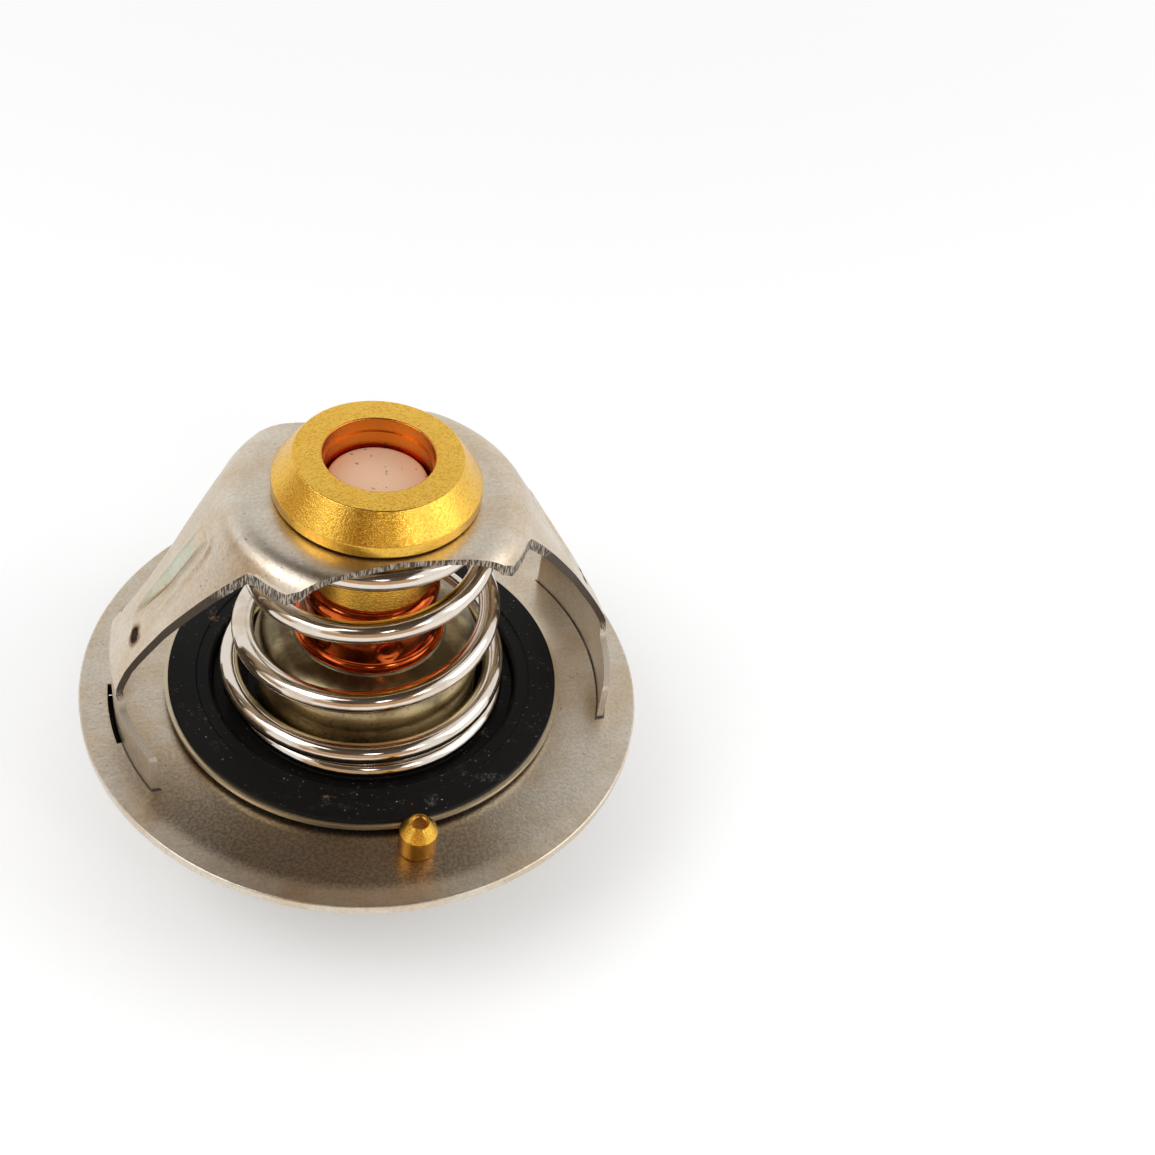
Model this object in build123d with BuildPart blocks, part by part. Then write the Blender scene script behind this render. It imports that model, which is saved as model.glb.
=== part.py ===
from build123d import *
from math import cos, radians, sin, tan
import os

# Engine thermostat with a flat flange, seen cold: the valve is shut.
# Millimetres. The origin is the centre of the valve opening at the flange's upper face.
# +Z runs up the valve's axis to the bypass ring, and +X runs out along one leg of the spring bridge.

# ---------------------------------------------------------------- driving dimensions
FLANGE_R = 43.0          # outer radius of the flange
FLANGE_T = 1.5           # flange thickness
OPENING_R = 28.0         # radius of the valve opening
SEAT_COLLAR_H = 3.4      # depth of the collar drawn down round the opening

SHEET_T = 1.2            # thickness of both pressed bridges
FOOT_R = 38.0            # outer radius of the spring bridge's curved feet
FOOT_H = 7.0             # height of the feet
FOOT_HALF_ANGLE = 24.3   # half the arc that a foot covers, degrees
TAB_HALF_ANGLE = 7.4     # half the arc of the tab that passes through the flange, degrees
PLATE_Z = 39.1           # upper face of the bridge plate
PLATE_R = 22.3           # outline radius of the bridge plate
LEG_SLOPE = 59.5         # slope of the legs from the horizontal, degrees
GUIDE_HOLE_R = 9.55      # hole in the bridge plate round the bypass sleeve

RING_TOP_Z = 45.4        # top of the bypass ring
RING_R = 14.7            # bypass ring at its rim
RING_TOP_R = 11.83       # bypass ring at its top face
SLEEVE_R = 9.25          # sleeve of the bypass ring
SLEEVE_END_Z = 23.65     # lower end of the sleeve, on the drum's shoulder

CAPSULE_R = 7.5          # thin upper cylinder of the wax capsule
CAPSULE_TOP_Z = 40.9     # end face of the capsule
DRUM_R = 10.3            # wide drum of the capsule
CAPSULE_WALL = 0.8
PISTON_R = 3.0
RUNNING_FIT = 0.05       # radial clearance between the piston and its guide

DISC_R = 30.5            # edge of the valve disc
DISC_T = 0.9             # sheet of the valve disc
RIM_Z = 1.7              # upper face of the disc at its edge
DOME_R = 17.1            # outer radius of the disc's dome
DOME_TOP_Z = 12.6        # flat top of the dome
DOME_LIP_Z = 14.3        # top of the lip round the drum

WIRE_R = 1.6             # spring wire
PIN_X, PIN_Y = 0.0, -33.4    # jiggle pin
PIN_LIFT = 1.5           # free travel of the jiggle pin

os.makedirs("parts", exist_ok=True)


def save(builder, name):
    """Label a finished piece and write its own STEP file."""
    builder.part.label = name
    export_step(builder.part, f"parts/{name}.step")


def polar(radius, angle):
    """A point in a horizontal plane, from its radius and its angle in degrees."""
    return (radius * cos(radians(angle)), radius * sin(radians(angle)))


# ---------------------------------------------------------------- flange
# A blanked steel ring. A short collar is drawn down round the opening and stiffens the valve's seat.
SLOT_R_IN = FOOT_R - SHEET_T - 0.2
SLOT_R_OUT = FOOT_R + 1.1
SLOT_HALF_ANGLE = 8.4
VENT_HOLE_R = 1.9


def slot_sketch(half_angle, r_in, r_out):
    """Two curved slots, one under each leg."""
    with BuildSketch() as sketch:
        for side in (0, 180):
            with BuildLine():
                inner = CenterArc((0, 0), r_in, side - half_angle, 2 * half_angle)
                outer = CenterArc((0, 0), r_out, side - half_angle, 2 * half_angle)
                Line(inner @ 0, outer @ 0)
                Line(inner @ 1, outer @ 1)
            make_face()
    return sketch.sketch


with BuildPart() as flange:
    with BuildSketch(Plane.XZ):
        with BuildLine():
            Polyline(
                (OPENING_R, -SEAT_COLLAR_H),
                (OPENING_R, 0),
                (FLANGE_R, 0),
                (FLANGE_R, -FLANGE_T),
                (OPENING_R + FLANGE_T, -FLANGE_T),
                (OPENING_R + FLANGE_T, -SEAT_COLLAR_H),
                close=True,
            )
        make_face()
    revolve(axis=Axis.Z)
    seat_edge = flange.edges().filter_by(GeomType.CIRCLE).filter_by_position(Axis.Z, -0.01, 0.01)
    fillet(seat_edge.sort_by(SortBy.RADIUS)[0], 0.9)
    inner_corner = flange.edges().filter_by(GeomType.CIRCLE).filter_by_position(
        Axis.Z, -FLANGE_T - 0.01, -FLANGE_T + 0.01)
    fillet(inner_corner.sort_by(SortBy.RADIUS)[0], 0.7)
    with BuildSketch(Plane.XY.offset(-FLANGE_T)):
        add(slot_sketch(SLOT_HALF_ANGLE, SLOT_R_IN, SLOT_R_OUT))
        with Locations((PIN_X, PIN_Y)):
            Circle(VENT_HOLE_R)
    extrude(amount=FLANGE_T, mode=Mode.SUBTRACT)
save(flange, "flange")


# ---------------------------------------------------------------- spring bridge
# One pressing. Its section is the same all round the axis: a flat plate, a bend, a straight slope and
# a second bend into the vertical foot. The blank's outline is then cut out of that bowl.
SLOPE_RUN = tan(radians(LEG_SLOPE))
UPPER_BEND_R = 20.65     # radius at which the plate's plane meets the slope
UPPER_BEND = 4.5         # bend radii on the outer face
LOWER_BEND = 4.0


def bowl_profile(inset):
    """Outer line of the bridge's section, moved inwards by the sheet's thickness when inset is set."""
    lean = radians(LEG_SLOPE)
    shift = inset / sin(lean)
    top_z = PLATE_Z - inset
    foot_r = FOOT_R - inset
    upper_r = UPPER_BEND_R - shift + inset / tan(lean)
    lower_z = PLATE_Z - (foot_r - (UPPER_BEND_R - shift)) * SLOPE_RUN
    return top_z, foot_r, upper_r, lower_z


def bowl_section(inset):
    """Closed section of the sheet. A negative inset raises it above the bridge's own faces."""
    top_z, foot_r, upper_r, lower_z = bowl_profile(inset)
    in_top_z, in_foot_r, in_upper_r, in_lower_z = bowl_profile(inset + SHEET_T)
    with BuildSketch(Plane.XZ) as section:
        with BuildLine():
            outer = FilletPolyline(
                (0, top_z), (upper_r, top_z), (foot_r, lower_z), (foot_r, 0),
                radius=[UPPER_BEND - inset, LOWER_BEND - inset],
            )
            inner = FilletPolyline(
                (0, in_top_z), (in_upper_r, in_top_z), (in_foot_r, in_lower_z), (in_foot_r, 0),
                radius=[UPPER_BEND - inset - SHEET_T, LOWER_BEND - inset - SHEET_T],
            )
            Line(outer @ 0, inner @ 0)
            Line(outer @ 1, inner @ 1)
        make_face()
    return section.sketch


CHORD_MID = 15.05        # half-width of the plate at its middle, between the lobes
CHORD_END = (10.8, 16.4)     # where the hollow edge runs into a lobe
LOBE_TOP = (13.6, 16.45)
LOBE_TIP = (16.4, 15.1)

with BuildSketch() as plate_outline:
    Circle(PLATE_R)
    for side in (1, -1):
        with BuildLine():
            hollow = ThreePointArc((-CHORD_END[0], side * CHORD_END[1]), (0, side * CHORD_MID),
                                   (CHORD_END[0], side * CHORD_END[1]))
            Polyline(hollow @ 1, (LOBE_TOP[0], side * LOBE_TOP[1]), (LOBE_TIP[0], side * LOBE_TIP[1]),
                     (PLATE_R, side * PLATE_R), (-PLATE_R, side * PLATE_R),
                     (-LOBE_TIP[0], side * LOBE_TIP[1]), (-LOBE_TOP[0], side * LOBE_TOP[1]), hollow @ 0)
        make_face(mode=Mode.SUBTRACT)

# A leg tapers in a straight line from the plate and ends in a slim waist at the lower bend.
NOTCH = (19.75, 10.6)    # where a leg leaves the plate
LEG_TAPER_END = (30.6, 4.9)
WAIST = (35.8, 3.4)
LEG_END_X = FOOT_R + 1

with BuildSketch() as leg_outline:
    for side in (1, -1):
        with BuildLine():
            flank = Line((side * NOTCH[0], NOTCH[1]), (side * LEG_TAPER_END[0], LEG_TAPER_END[1]))
            waist = TangentArc(flank @ 1, (side * WAIST[0], WAIST[1]), tangent=flank % 1)
            Polyline(waist @ 1, (side * LEG_END_X, WAIST[1]), (side * LEG_END_X, 0), (0, 0),
                     (0, NOTCH[1]), flank @ 0)
        make_face()
    mirror(about=Plane.XZ)

# Each leg carries a long pressed bead with a small drain hole at its lower end.
BEAD_HEIGHT = 0.8
BEAD_HALF_WIDTH = 1.9
BEAD_WALL = 0.7
BEAD_START_X = 24.6
BEAD_END_X = 31.6
DRAIN_X = 34.2
DRAIN_R = 1.1
DRAIN_Z = PLATE_Z - (DRAIN_X - UPPER_BEND_R) * SLOPE_RUN


def bead_sketch(half_width):
    """The two beads in plan, one on each leg."""
    with BuildSketch() as sketch:
        with Locations(((BEAD_START_X + BEAD_END_X) / 2, 0), (-(BEAD_START_X + BEAD_END_X) / 2, 0)):
            SlotCenterToCenter(BEAD_END_X - BEAD_START_X, 2 * half_width)
    return sketch.sketch


with BuildPart() as bead_skin:
    with BuildSketch(Plane.XZ):
        add(bowl_section(-BEAD_HEIGHT))
    revolve(axis=Axis.Z)
    with BuildSketch(Plane.XY.offset(PLATE_Z / 3)):
        add(bead_sketch(BEAD_HALF_WIDTH))
    extrude(amount=PLATE_Z, mode=Mode.INTERSECT)

# The curved feet. A leg widens from its waist and runs into its foot with a small fillet.
TAIL_TOP_Z = 12.5
TAIL_FOOT_HALF_WIDTH = 4.7
TAIL_FILLET = 1.8

with BuildPart() as feet:
    with BuildSketch():
        Circle(FOOT_R)
        Circle(FOOT_R - SHEET_T, mode=Mode.SUBTRACT)
    extrude(amount=TAIL_TOP_Z)
    with BuildSketch(Plane.YZ):
        foot_half_width = FOOT_R * sin(radians(FOOT_HALF_ANGLE))
        with BuildLine():
            tail = FilletPolyline((WAIST[1], TAIL_TOP_Z), (TAIL_FOOT_HALF_WIDTH, FOOT_H),
                                  (foot_half_width, FOOT_H), (foot_half_width, 0), radius=[TAIL_FILLET, 0.7])
            Polyline(tail @ 1, (0, 0), (0, TAIL_TOP_Z), tail @ 0)
        make_face()
        mirror(about=Plane.XZ)
    extrude(amount=FOOT_R + 1, both=True, mode=Mode.INTERSECT)

CLINCH_Z = -FLANGE_T - SHEET_T   # underside of the piston bridge's feet
CLINCH_REACH = 2.4               # how far the clinched tab turns outwards

with BuildPart() as spring_bridge:
    with BuildSketch(Plane.XZ):
        add(bowl_section(0))
    revolve(axis=Axis.Z)
    with BuildSketch():
        add(plate_outline.sketch)
        add(leg_outline.sketch)
    extrude(amount=PLATE_Z + 1, mode=Mode.INTERSECT)
    # beads: the flat sheet under each bead gives way to a raised skin
    with BuildSketch(Plane.XY.offset(PLATE_Z / 3)):
        add(bead_sketch(BEAD_HALF_WIDTH - BEAD_WALL))
    extrude(amount=PLATE_Z, mode=Mode.SUBTRACT)
    add(bead_skin.part)
    add(feet.part)
    # tabs through the flange, clinched outwards under the piston bridge
    with BuildSketch(Plane.XY.offset(CLINCH_Z - SHEET_T)):
        add(slot_sketch(TAB_HALF_ANGLE, FOOT_R - SHEET_T, FOOT_R))
    extrude(amount=SHEET_T - CLINCH_Z)
    with BuildSketch(Plane.XY.offset(CLINCH_Z - SHEET_T)):
        add(slot_sketch(TAB_HALF_ANGLE, FOOT_R - SHEET_T, FOOT_R + CLINCH_REACH))
    extrude(amount=SHEET_T)
    # guide hole for the bypass sleeve
    with BuildSketch(Plane.XY.offset(PLATE_Z - 3 * SHEET_T)):
        Circle(GUIDE_HOLE_R)
    extrude(amount=4 * SHEET_T, mode=Mode.SUBTRACT)
    # drain holes, square to the slope
    for side in (1, -1):
        lean = (side * sin(radians(LEG_SLOPE)), 0, cos(radians(LEG_SLOPE)))
        with BuildSketch(Plane(origin=(side * DRAIN_X, 0, DRAIN_Z), x_dir=(0, 1, 0), z_dir=lean)):
            Circle(DRAIN_R)
        extrude(amount=3 * SHEET_T, both=True, mode=Mode.SUBTRACT)
save(spring_bridge, "spring_bridge")


# ---------------------------------------------------------------- piston bridge
# A pressed strap under the flange. Its hub holds the piston's tip in a small cup.
HUB_Z = -18.5            # upper face of the hub
CUP_Z = -21.5            # bottom of the piston's cup
CUP_R = 3.3
HUB_R = 9.5
ARM_HALF_WIDTH = 6.5
FOOT_REACH = 41.5
FOOT_HALF_WIDTH = 10.0
ARM_TOP_R = 33.0         # where the arms leave the flange's underside

with BuildPart() as piston_bridge:
    with BuildSketch(Plane.XZ):
        with BuildLine():
            inside = FilletPolyline(
                (0, CUP_Z), (CUP_R, CUP_Z), (CUP_R, HUB_Z), (HUB_R, HUB_Z),
                (ARM_TOP_R, -FLANGE_T), (FOOT_REACH, -FLANGE_T),
                radius=[0.6, 1.6, 4.0, 1.6],
            )
            outside = FilletPolyline(
                (0, CUP_Z - SHEET_T), (CUP_R + SHEET_T, CUP_Z - SHEET_T), (CUP_R + SHEET_T, HUB_Z - SHEET_T),
                (HUB_R + 0.5, HUB_Z - SHEET_T), (ARM_TOP_R + 0.5, CLINCH_Z), (FOOT_REACH, CLINCH_Z),
                radius=[1.5, 0.5, 5.2, 0.6],
            )
            Line(inside @ 0, outside @ 0)
            Line(inside @ 1, outside @ 1)
        make_face()
    revolve(axis=Axis.Z)
    with BuildSketch(Plane.XY.offset(CUP_Z - 2 * SHEET_T)):
        Circle(HUB_R + 1.5)
        with BuildLine():
            Polyline((0, ARM_HALF_WIDTH), (ARM_TOP_R - 6, ARM_HALF_WIDTH), (ARM_TOP_R + 2, FOOT_HALF_WIDTH),
                     (FOOT_REACH + 1, FOOT_HALF_WIDTH), (FOOT_REACH + 1, 0), (0, 0), close=True)
        make_face()
        mirror(about=Plane.XZ)
        mirror(about=Plane.YZ)
    extrude(amount=-CUP_Z + 2 * SHEET_T, mode=Mode.INTERSECT)
    with BuildSketch(Plane.XY.offset(CLINCH_Z)):
        add(slot_sketch(SLOT_HALF_ANGLE, SLOT_R_IN, SLOT_R_OUT))
    extrude(amount=SHEET_T, mode=Mode.SUBTRACT)
save(piston_bridge, "piston_bridge")


# ---------------------------------------------------------------- valve disc and its rubber
# The disc is drawn from one sheet: a flat rim, a pocket for the spring and a tall dome whose lip
# surrounds the wax element's drum. The rubber is moulded through a ring of holes in the rim.
POCKET_R = 24.4
POCKET_Z = -1.1
LIP_R = 11.55
KEY_HOLE_R = 1.2
KEY_CIRCLE_R = 28.0
KEY_COUNT = 12

RUBBER_R = 29.9
RUBBER_TOP_Z = 2.2
RUBBER_STEP_R = 25.8
RUBBER_STEP_Z = 1.95
RUBBER_POCKET_R = 23.4
SPRING_SEAT_Z = -0.1
SEAL_INNER_R = 26.2
SEAL_GAP = 0.05

with BuildPart() as valve_disc:
    with BuildSketch(Plane.XZ):
        with BuildLine():
            upper = FilletPolyline(
                (DISC_R, RIM_Z), (POCKET_R, RIM_Z), (POCKET_R, POCKET_Z), (DOME_R, POCKET_Z),
                (DOME_R, DOME_TOP_Z), (LIP_R, DOME_TOP_Z), (LIP_R, DOME_LIP_Z),
                radius=[1.2, 0.5, 1.0, 4.5, 0.8],
            )
            lower = FilletPolyline(
                (DISC_R, RIM_Z - DISC_T), (POCKET_R + DISC_T, RIM_Z - DISC_T),
                (POCKET_R + DISC_T, POCKET_Z - DISC_T), (DOME_R - DISC_T, POCKET_Z - DISC_T),
                (DOME_R - DISC_T, DOME_TOP_Z - DISC_T), (LIP_R - DISC_T, DOME_TOP_Z - DISC_T),
                (LIP_R - DISC_T, DOME_LIP_Z),
                radius=[0.3, 1.4, 1.9, 3.6, 1.7],
            )
            Line(upper @ 0, lower @ 0)
            Line(upper @ 1, lower @ 1)
        make_face()
    revolve(axis=Axis.Z)
    with BuildSketch(Plane.XY.offset(RIM_Z - 2 * DISC_T)):
        with PolarLocations(KEY_CIRCLE_R, KEY_COUNT):
            Circle(KEY_HOLE_R)
    extrude(amount=3 * DISC_T, mode=Mode.SUBTRACT)
save(valve_disc, "valve_disc")

with BuildPart() as valve_rubber:
    with BuildSketch(Plane.XZ):
        with BuildLine():
            Polyline(
                (SEAL_INNER_R, SEAL_GAP),
                (RUBBER_R, SEAL_GAP),
                (RUBBER_R, RUBBER_TOP_Z),
                (RUBBER_STEP_R, RUBBER_TOP_Z),
                (RUBBER_STEP_R - 0.2, RUBBER_STEP_Z),
                (RUBBER_POCKET_R + 0.5, RUBBER_STEP_Z),
                (RUBBER_POCKET_R, RUBBER_STEP_Z - 0.5),
                (RUBBER_POCKET_R, SPRING_SEAT_Z),
                (DOME_R + 0.8, SPRING_SEAT_Z),
                (DOME_R - DISC_T / 2, SPRING_SEAT_Z + 0.7),
                (DOME_R - DISC_T / 2, POCKET_Z + DISC_T),
                (DOME_R + DISC_T, POCKET_Z - DISC_T / 2),
                (POCKET_R + DISC_T / 2, POCKET_Z - DISC_T / 2),
                (POCKET_R + DISC_T / 2, RIM_Z - DISC_T / 2),
                (SEAL_INNER_R, RIM_Z - DISC_T / 2),
                close=True,
            )
        make_face()
    revolve(axis=Axis.Z)
    add(valve_disc.part, mode=Mode.SUBTRACT)
save(valve_rubber, "valve_rubber")


# ---------------------------------------------------------------- wax element
# A squeeze element: the wax fills the capsule round a rubber boot, and the boot squeezes the piston out.
CAPSULE_END_FILLET = 1.0
DRUM_SHOULDER = 2.0
CLAMP_R = 12.05          # capsule flange and boot flange, under the guide's crimp
CLAMP_Z = 10.05          # underside of the capsule's flange
BOOT_SEAT_Z = 9.0
BOOT_R = 4.9
BOOT_BORE_R = 3.1
BOOT_END_Z = 28.6
PISTON_TOP_Z = 27.0
GUIDE_FLANGE_R = 13.0
GUIDE_FLANGE_Z = 7.4
GUIDE_NECK_R = 6.5
GUIDE_NOSE_Z = -7.0
GUIDE_BORE_R = PISTON_R + RUNNING_FIT
WASHER_R = 5.7
WASHER_SEAT_Z = 8.0
WIPER_R = 5.2
WIPER_SEAT_Z = -4.3
WIPER_WASHER_Z = -6.2
CRIMP_R = 11.2
UNDER_DOME_Z = DOME_TOP_Z - DISC_T

with BuildPart() as element_capsule:
    with BuildSketch(Plane.XZ):
        with BuildLine():
            shell = FilletPolyline(
                (CLAMP_R, CLAMP_Z), (CLAMP_R, CLAMP_Z + CAPSULE_WALL), (DRUM_R, CLAMP_Z + CAPSULE_WALL),
                (DRUM_R, SLEEVE_END_Z), (CAPSULE_R, SLEEVE_END_Z), (CAPSULE_R, CAPSULE_TOP_Z), (0, CAPSULE_TOP_Z),
                radius=[0, 0, DRUM_SHOULDER, 0, CAPSULE_END_FILLET],
            )
            hollow = FilletPolyline(
                (CLAMP_R, CLAMP_Z), (DRUM_R - CAPSULE_WALL, CLAMP_Z),
                (DRUM_R - CAPSULE_WALL, SLEEVE_END_Z - CAPSULE_WALL),
                (CAPSULE_R - CAPSULE_WALL, SLEEVE_END_Z - CAPSULE_WALL),
                (CAPSULE_R - CAPSULE_WALL, CAPSULE_TOP_Z - CAPSULE_WALL), (0, CAPSULE_TOP_Z - CAPSULE_WALL),
                radius=[0, DRUM_SHOULDER - CAPSULE_WALL, 0, 0],
            )
            Line(shell @ 1, hollow @ 1)
        make_face()
    revolve(axis=Axis.Z)
save(element_capsule, "element_capsule")

with BuildPart() as rubber_boot:
    with BuildSketch(Plane.XZ):
        with BuildLine():
            Polyline(
                (BOOT_BORE_R, BOOT_SEAT_Z), (CLAMP_R, BOOT_SEAT_Z), (CLAMP_R, CLAMP_Z), (BOOT_R, CLAMP_Z),
                (BOOT_R, BOOT_END_Z - 1.6), (BOOT_R - 1.6, BOOT_END_Z), (0, BOOT_END_Z),
                (0, PISTON_TOP_Z + 0.2), (BOOT_BORE_R, PISTON_TOP_Z + 0.2), close=True,
            )
        make_face()
    revolve(axis=Axis.Z)
save(rubber_boot, "rubber_boot")

with BuildPart() as wax_charge:
    with BuildSketch(Plane.XZ):
        with BuildLine():
            Polyline(
                (BOOT_R, CLAMP_Z), (DRUM_R - CAPSULE_WALL, CLAMP_Z),
                (DRUM_R - CAPSULE_WALL, SLEEVE_END_Z - CAPSULE_WALL - 1.3),
                (DRUM_R - CAPSULE_WALL - 1.3, SLEEVE_END_Z - CAPSULE_WALL),
                (CAPSULE_R - CAPSULE_WALL, SLEEVE_END_Z - CAPSULE_WALL),
                (CAPSULE_R - CAPSULE_WALL, CAPSULE_TOP_Z - CAPSULE_WALL), (0, CAPSULE_TOP_Z - CAPSULE_WALL),
                (0, BOOT_END_Z), (BOOT_R - 1.6, BOOT_END_Z), (BOOT_R, BOOT_END_Z - 1.6), close=True,
            )
        make_face()
    revolve(axis=Axis.Z)
save(wax_charge, "wax_charge")

with BuildPart() as piston_guide:
    with BuildSketch(Plane.XZ):
        with BuildLine():
            Polyline(
                (GUIDE_BORE_R, WIPER_SEAT_Z), (WIPER_R, WIPER_SEAT_Z), (WIPER_R, GUIDE_NOSE_Z),
                (GUIDE_NECK_R - 0.6, GUIDE_NOSE_Z), (GUIDE_NECK_R, GUIDE_NOSE_Z + 0.6),
                (GUIDE_NECK_R, GUIDE_FLANGE_Z), (GUIDE_FLANGE_R, GUIDE_FLANGE_Z),
                (GUIDE_FLANGE_R, UNDER_DOME_Z - 0.7), (GUIDE_FLANGE_R - 0.7, UNDER_DOME_Z),
                (CRIMP_R, UNDER_DOME_Z),
                (CRIMP_R, CLAMP_Z + CAPSULE_WALL), (CLAMP_R, CLAMP_Z + CAPSULE_WALL),
                (CLAMP_R, BOOT_SEAT_Z), (WASHER_R, BOOT_SEAT_Z), (WASHER_R, WASHER_SEAT_Z),
                (GUIDE_BORE_R, WASHER_SEAT_Z), close=True,
            )
        make_face()
    revolve(axis=Axis.Z)
save(piston_guide, "piston_guide")


def ring(inner_r, outer_r, bottom_z, top_z):
    """A plain turned or moulded ring on the valve's axis."""
    with BuildPart() as piece:
        with BuildSketch(Plane.XY.offset(bottom_z)):
            Circle(outer_r)
            Circle(inner_r, mode=Mode.SUBTRACT)
        extrude(amount=top_z - bottom_z)
    return piece


backup_washer = ring(BOOT_BORE_R, WASHER_R, WASHER_SEAT_Z, BOOT_SEAT_Z)
save(backup_washer, "backup_washer")
wiper_washer = ring(PISTON_R + 0.5, WIPER_R, GUIDE_NOSE_Z, WIPER_WASHER_Z)
save(wiper_washer, "wiper_washer")

with BuildPart() as piston_wiper:
    with BuildSketch(Plane.XZ):
        with BuildLine():
            Polyline(
                (WIPER_R, WIPER_WASHER_Z), (WIPER_R, WIPER_SEAT_Z), (PISTON_R + 0.9, WIPER_SEAT_Z),
                (BOOT_BORE_R, WIPER_SEAT_Z - 0.7), (BOOT_BORE_R, WIPER_SEAT_Z - 1.2),
                (PISTON_R + 0.9, WIPER_WASHER_Z), close=True,
            )
        make_face()
    revolve(axis=Axis.Z)
save(piston_wiper, "piston_wiper")

with BuildPart() as piston:
    with BuildSketch(Plane.XY.offset(CUP_Z)):
        Circle(PISTON_R)
    extrude(amount=PISTON_TOP_Z - CUP_Z)
    chamfer(piston.faces().sort_by(Axis.Z)[0].edges(), 0.8)
    fillet(piston.faces().sort_by(Axis.Z)[-1].edges(), 1.0)
save(piston, "piston")

# A pressed ring locks the element's flange up against the inside of the dome.
RETAINER_T = 0.9
RETAINER_SKIRT = 3.6
with BuildPart() as element_retainer:
    with BuildSketch(Plane.XZ):
        with BuildLine():
            Polyline(
                (GUIDE_NECK_R + 0.3, GUIDE_FLANGE_Z - RETAINER_T), (GUIDE_NECK_R + 0.3, GUIDE_FLANGE_Z),
                (DOME_R - DISC_T - 0.5, GUIDE_FLANGE_Z), (DOME_R - DISC_T, GUIDE_FLANGE_Z - 0.5),
                (DOME_R - DISC_T, GUIDE_FLANGE_Z - RETAINER_SKIRT),
                (DOME_R - DISC_T - RETAINER_T, GUIDE_FLANGE_Z - RETAINER_SKIRT),
                (DOME_R - DISC_T - RETAINER_T, GUIDE_FLANGE_Z - RETAINER_T), close=True,
            )
        make_face()
    revolve(axis=Axis.Z)
save(element_retainer, "element_retainer")


# ---------------------------------------------------------------- bypass ring
# Turned brass: a bevelled ring above the bridge plate and a sleeve that runs in the plate's hole.
RING_BOTTOM_Z = 39.4
RING_BEVEL_R = 14.45
RING_BEVEL_Z = 41.6
MOUTH_R = 7.75
MOUTH_Z = 43.2

with BuildPart() as bypass_ring:
    with BuildSketch(Plane.XZ):
        with BuildLine():
            Polyline(
                (CAPSULE_R, SLEEVE_END_Z), (SLEEVE_R, SLEEVE_END_Z), (SLEEVE_R, RING_BOTTOM_Z),
                (RING_R, RING_BOTTOM_Z), (RING_R, RING_BEVEL_Z - 0.3), (RING_BEVEL_R, RING_BEVEL_Z),
                (RING_TOP_R, RING_TOP_Z), (MOUTH_R, RING_TOP_Z), (MOUTH_R, MOUTH_Z), (CAPSULE_R, MOUTH_Z),
                close=True,
            )
        make_face()
    revolve(axis=Axis.Z)
save(bypass_ring, "bypass_ring")


# ---------------------------------------------------------------- main spring
# Conical, wound closed at both ends. Each row gives the turn, the coil's radius and its height there.
LOWEST_COIL_Z = SPRING_SEAT_Z + WIRE_R
HIGHEST_COIL_Z = PLATE_Z - SHEET_T - WIRE_R - 0.05
COIL_LAW = [
    (0.0, 20.4, LOWEST_COIL_Z + 0.1),
    (0.4, 20.4, LOWEST_COIL_Z + 0.1),
    (0.6, 20.6, 2.1),
    (1.0, 21.3, 4.8),
    (1.5, 20.0, 6.6),
    (2.0, 19.2, 12.2),
    (2.5, 18.3, 18.2),
    (3.0, 17.5, 24.6),
    (3.5, 16.6, 31.0),
    (4.0, 15.7, 35.2),
    (4.25, 15.4, HIGHEST_COIL_Z - 0.2),
    (4.5, 15.4, HIGHEST_COIL_Z - 0.05),
]
SPRING_START = -180.0    # angle of the lower wire end
POINTS_PER_TURN = 12

coil_points = []
for i in range(round(COIL_LAW[-1][0] * POINTS_PER_TURN) + 1):
    turn = i / POINTS_PER_TURN
    row = sum(law[0] <= turn for law in COIL_LAW[1:-1])
    (turn_0, radius_0, z_0), (turn_1, radius_1, z_1) = COIL_LAW[row:row + 2]
    share = (turn - turn_0) / (turn_1 - turn_0)
    x, y = polar(radius_0 + share * (radius_1 - radius_0), SPRING_START + 360 * turn)
    coil_points.append((x, y, z_0 + share * (z_1 - z_0)))

with BuildPart() as main_spring:
    with BuildLine() as coil:
        Spline(*coil_points)
    with BuildSketch(Plane(origin=coil.line @ 0, z_dir=coil.line % 0)):
        Circle(WIRE_R)
    sweep(path=coil.line)
save(main_spring, "main_spring")


# ---------------------------------------------------------------- jiggle pin
# A loose brass pin in the vent hole: a cylindrical weight with a cone on top, a stem and an upset foot.
PIN_R = 2.75
PIN_STEM_R = 1.5
PIN_FOOT_R = 2.4
PIN_FOOT_Z = -FLANGE_T - PIN_LIFT - 0.05
PIN_SHOULDER_Z = 3.9
PIN_TIP_R = 1.25
PIN_CONE_Z = 6.2
PIN_TOP_Z = 6.5
PIN_DIMPLE_R = 0.7

with BuildPart() as jiggle_pin:
    with BuildSketch(Plane.XZ.offset(-PIN_Y)):
        with BuildLine():
            Polyline(
                (0, PIN_FOOT_Z - 1.0), (PIN_FOOT_R - 0.3, PIN_FOOT_Z - 1.0), (PIN_FOOT_R, PIN_FOOT_Z - 0.6),
                (PIN_FOOT_R, PIN_FOOT_Z), (PIN_STEM_R, PIN_FOOT_Z), (PIN_STEM_R, 0), (PIN_R, 0),
                (PIN_R, PIN_SHOULDER_Z), (PIN_TIP_R, PIN_CONE_Z), (PIN_TIP_R, PIN_TOP_Z),
                (PIN_DIMPLE_R, PIN_TOP_Z), (0, PIN_TOP_Z - 0.5), close=True,
            )
        make_face()
    revolve(axis=Axis((PIN_X, PIN_Y, 0), (0, 0, 1)))
save(jiggle_pin, "jiggle_pin")
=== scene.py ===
"""Builds the look of a wax-element engine thermostat around its packed construction model."""

import math

import bpy
from mathutils import Matrix, Vector


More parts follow.
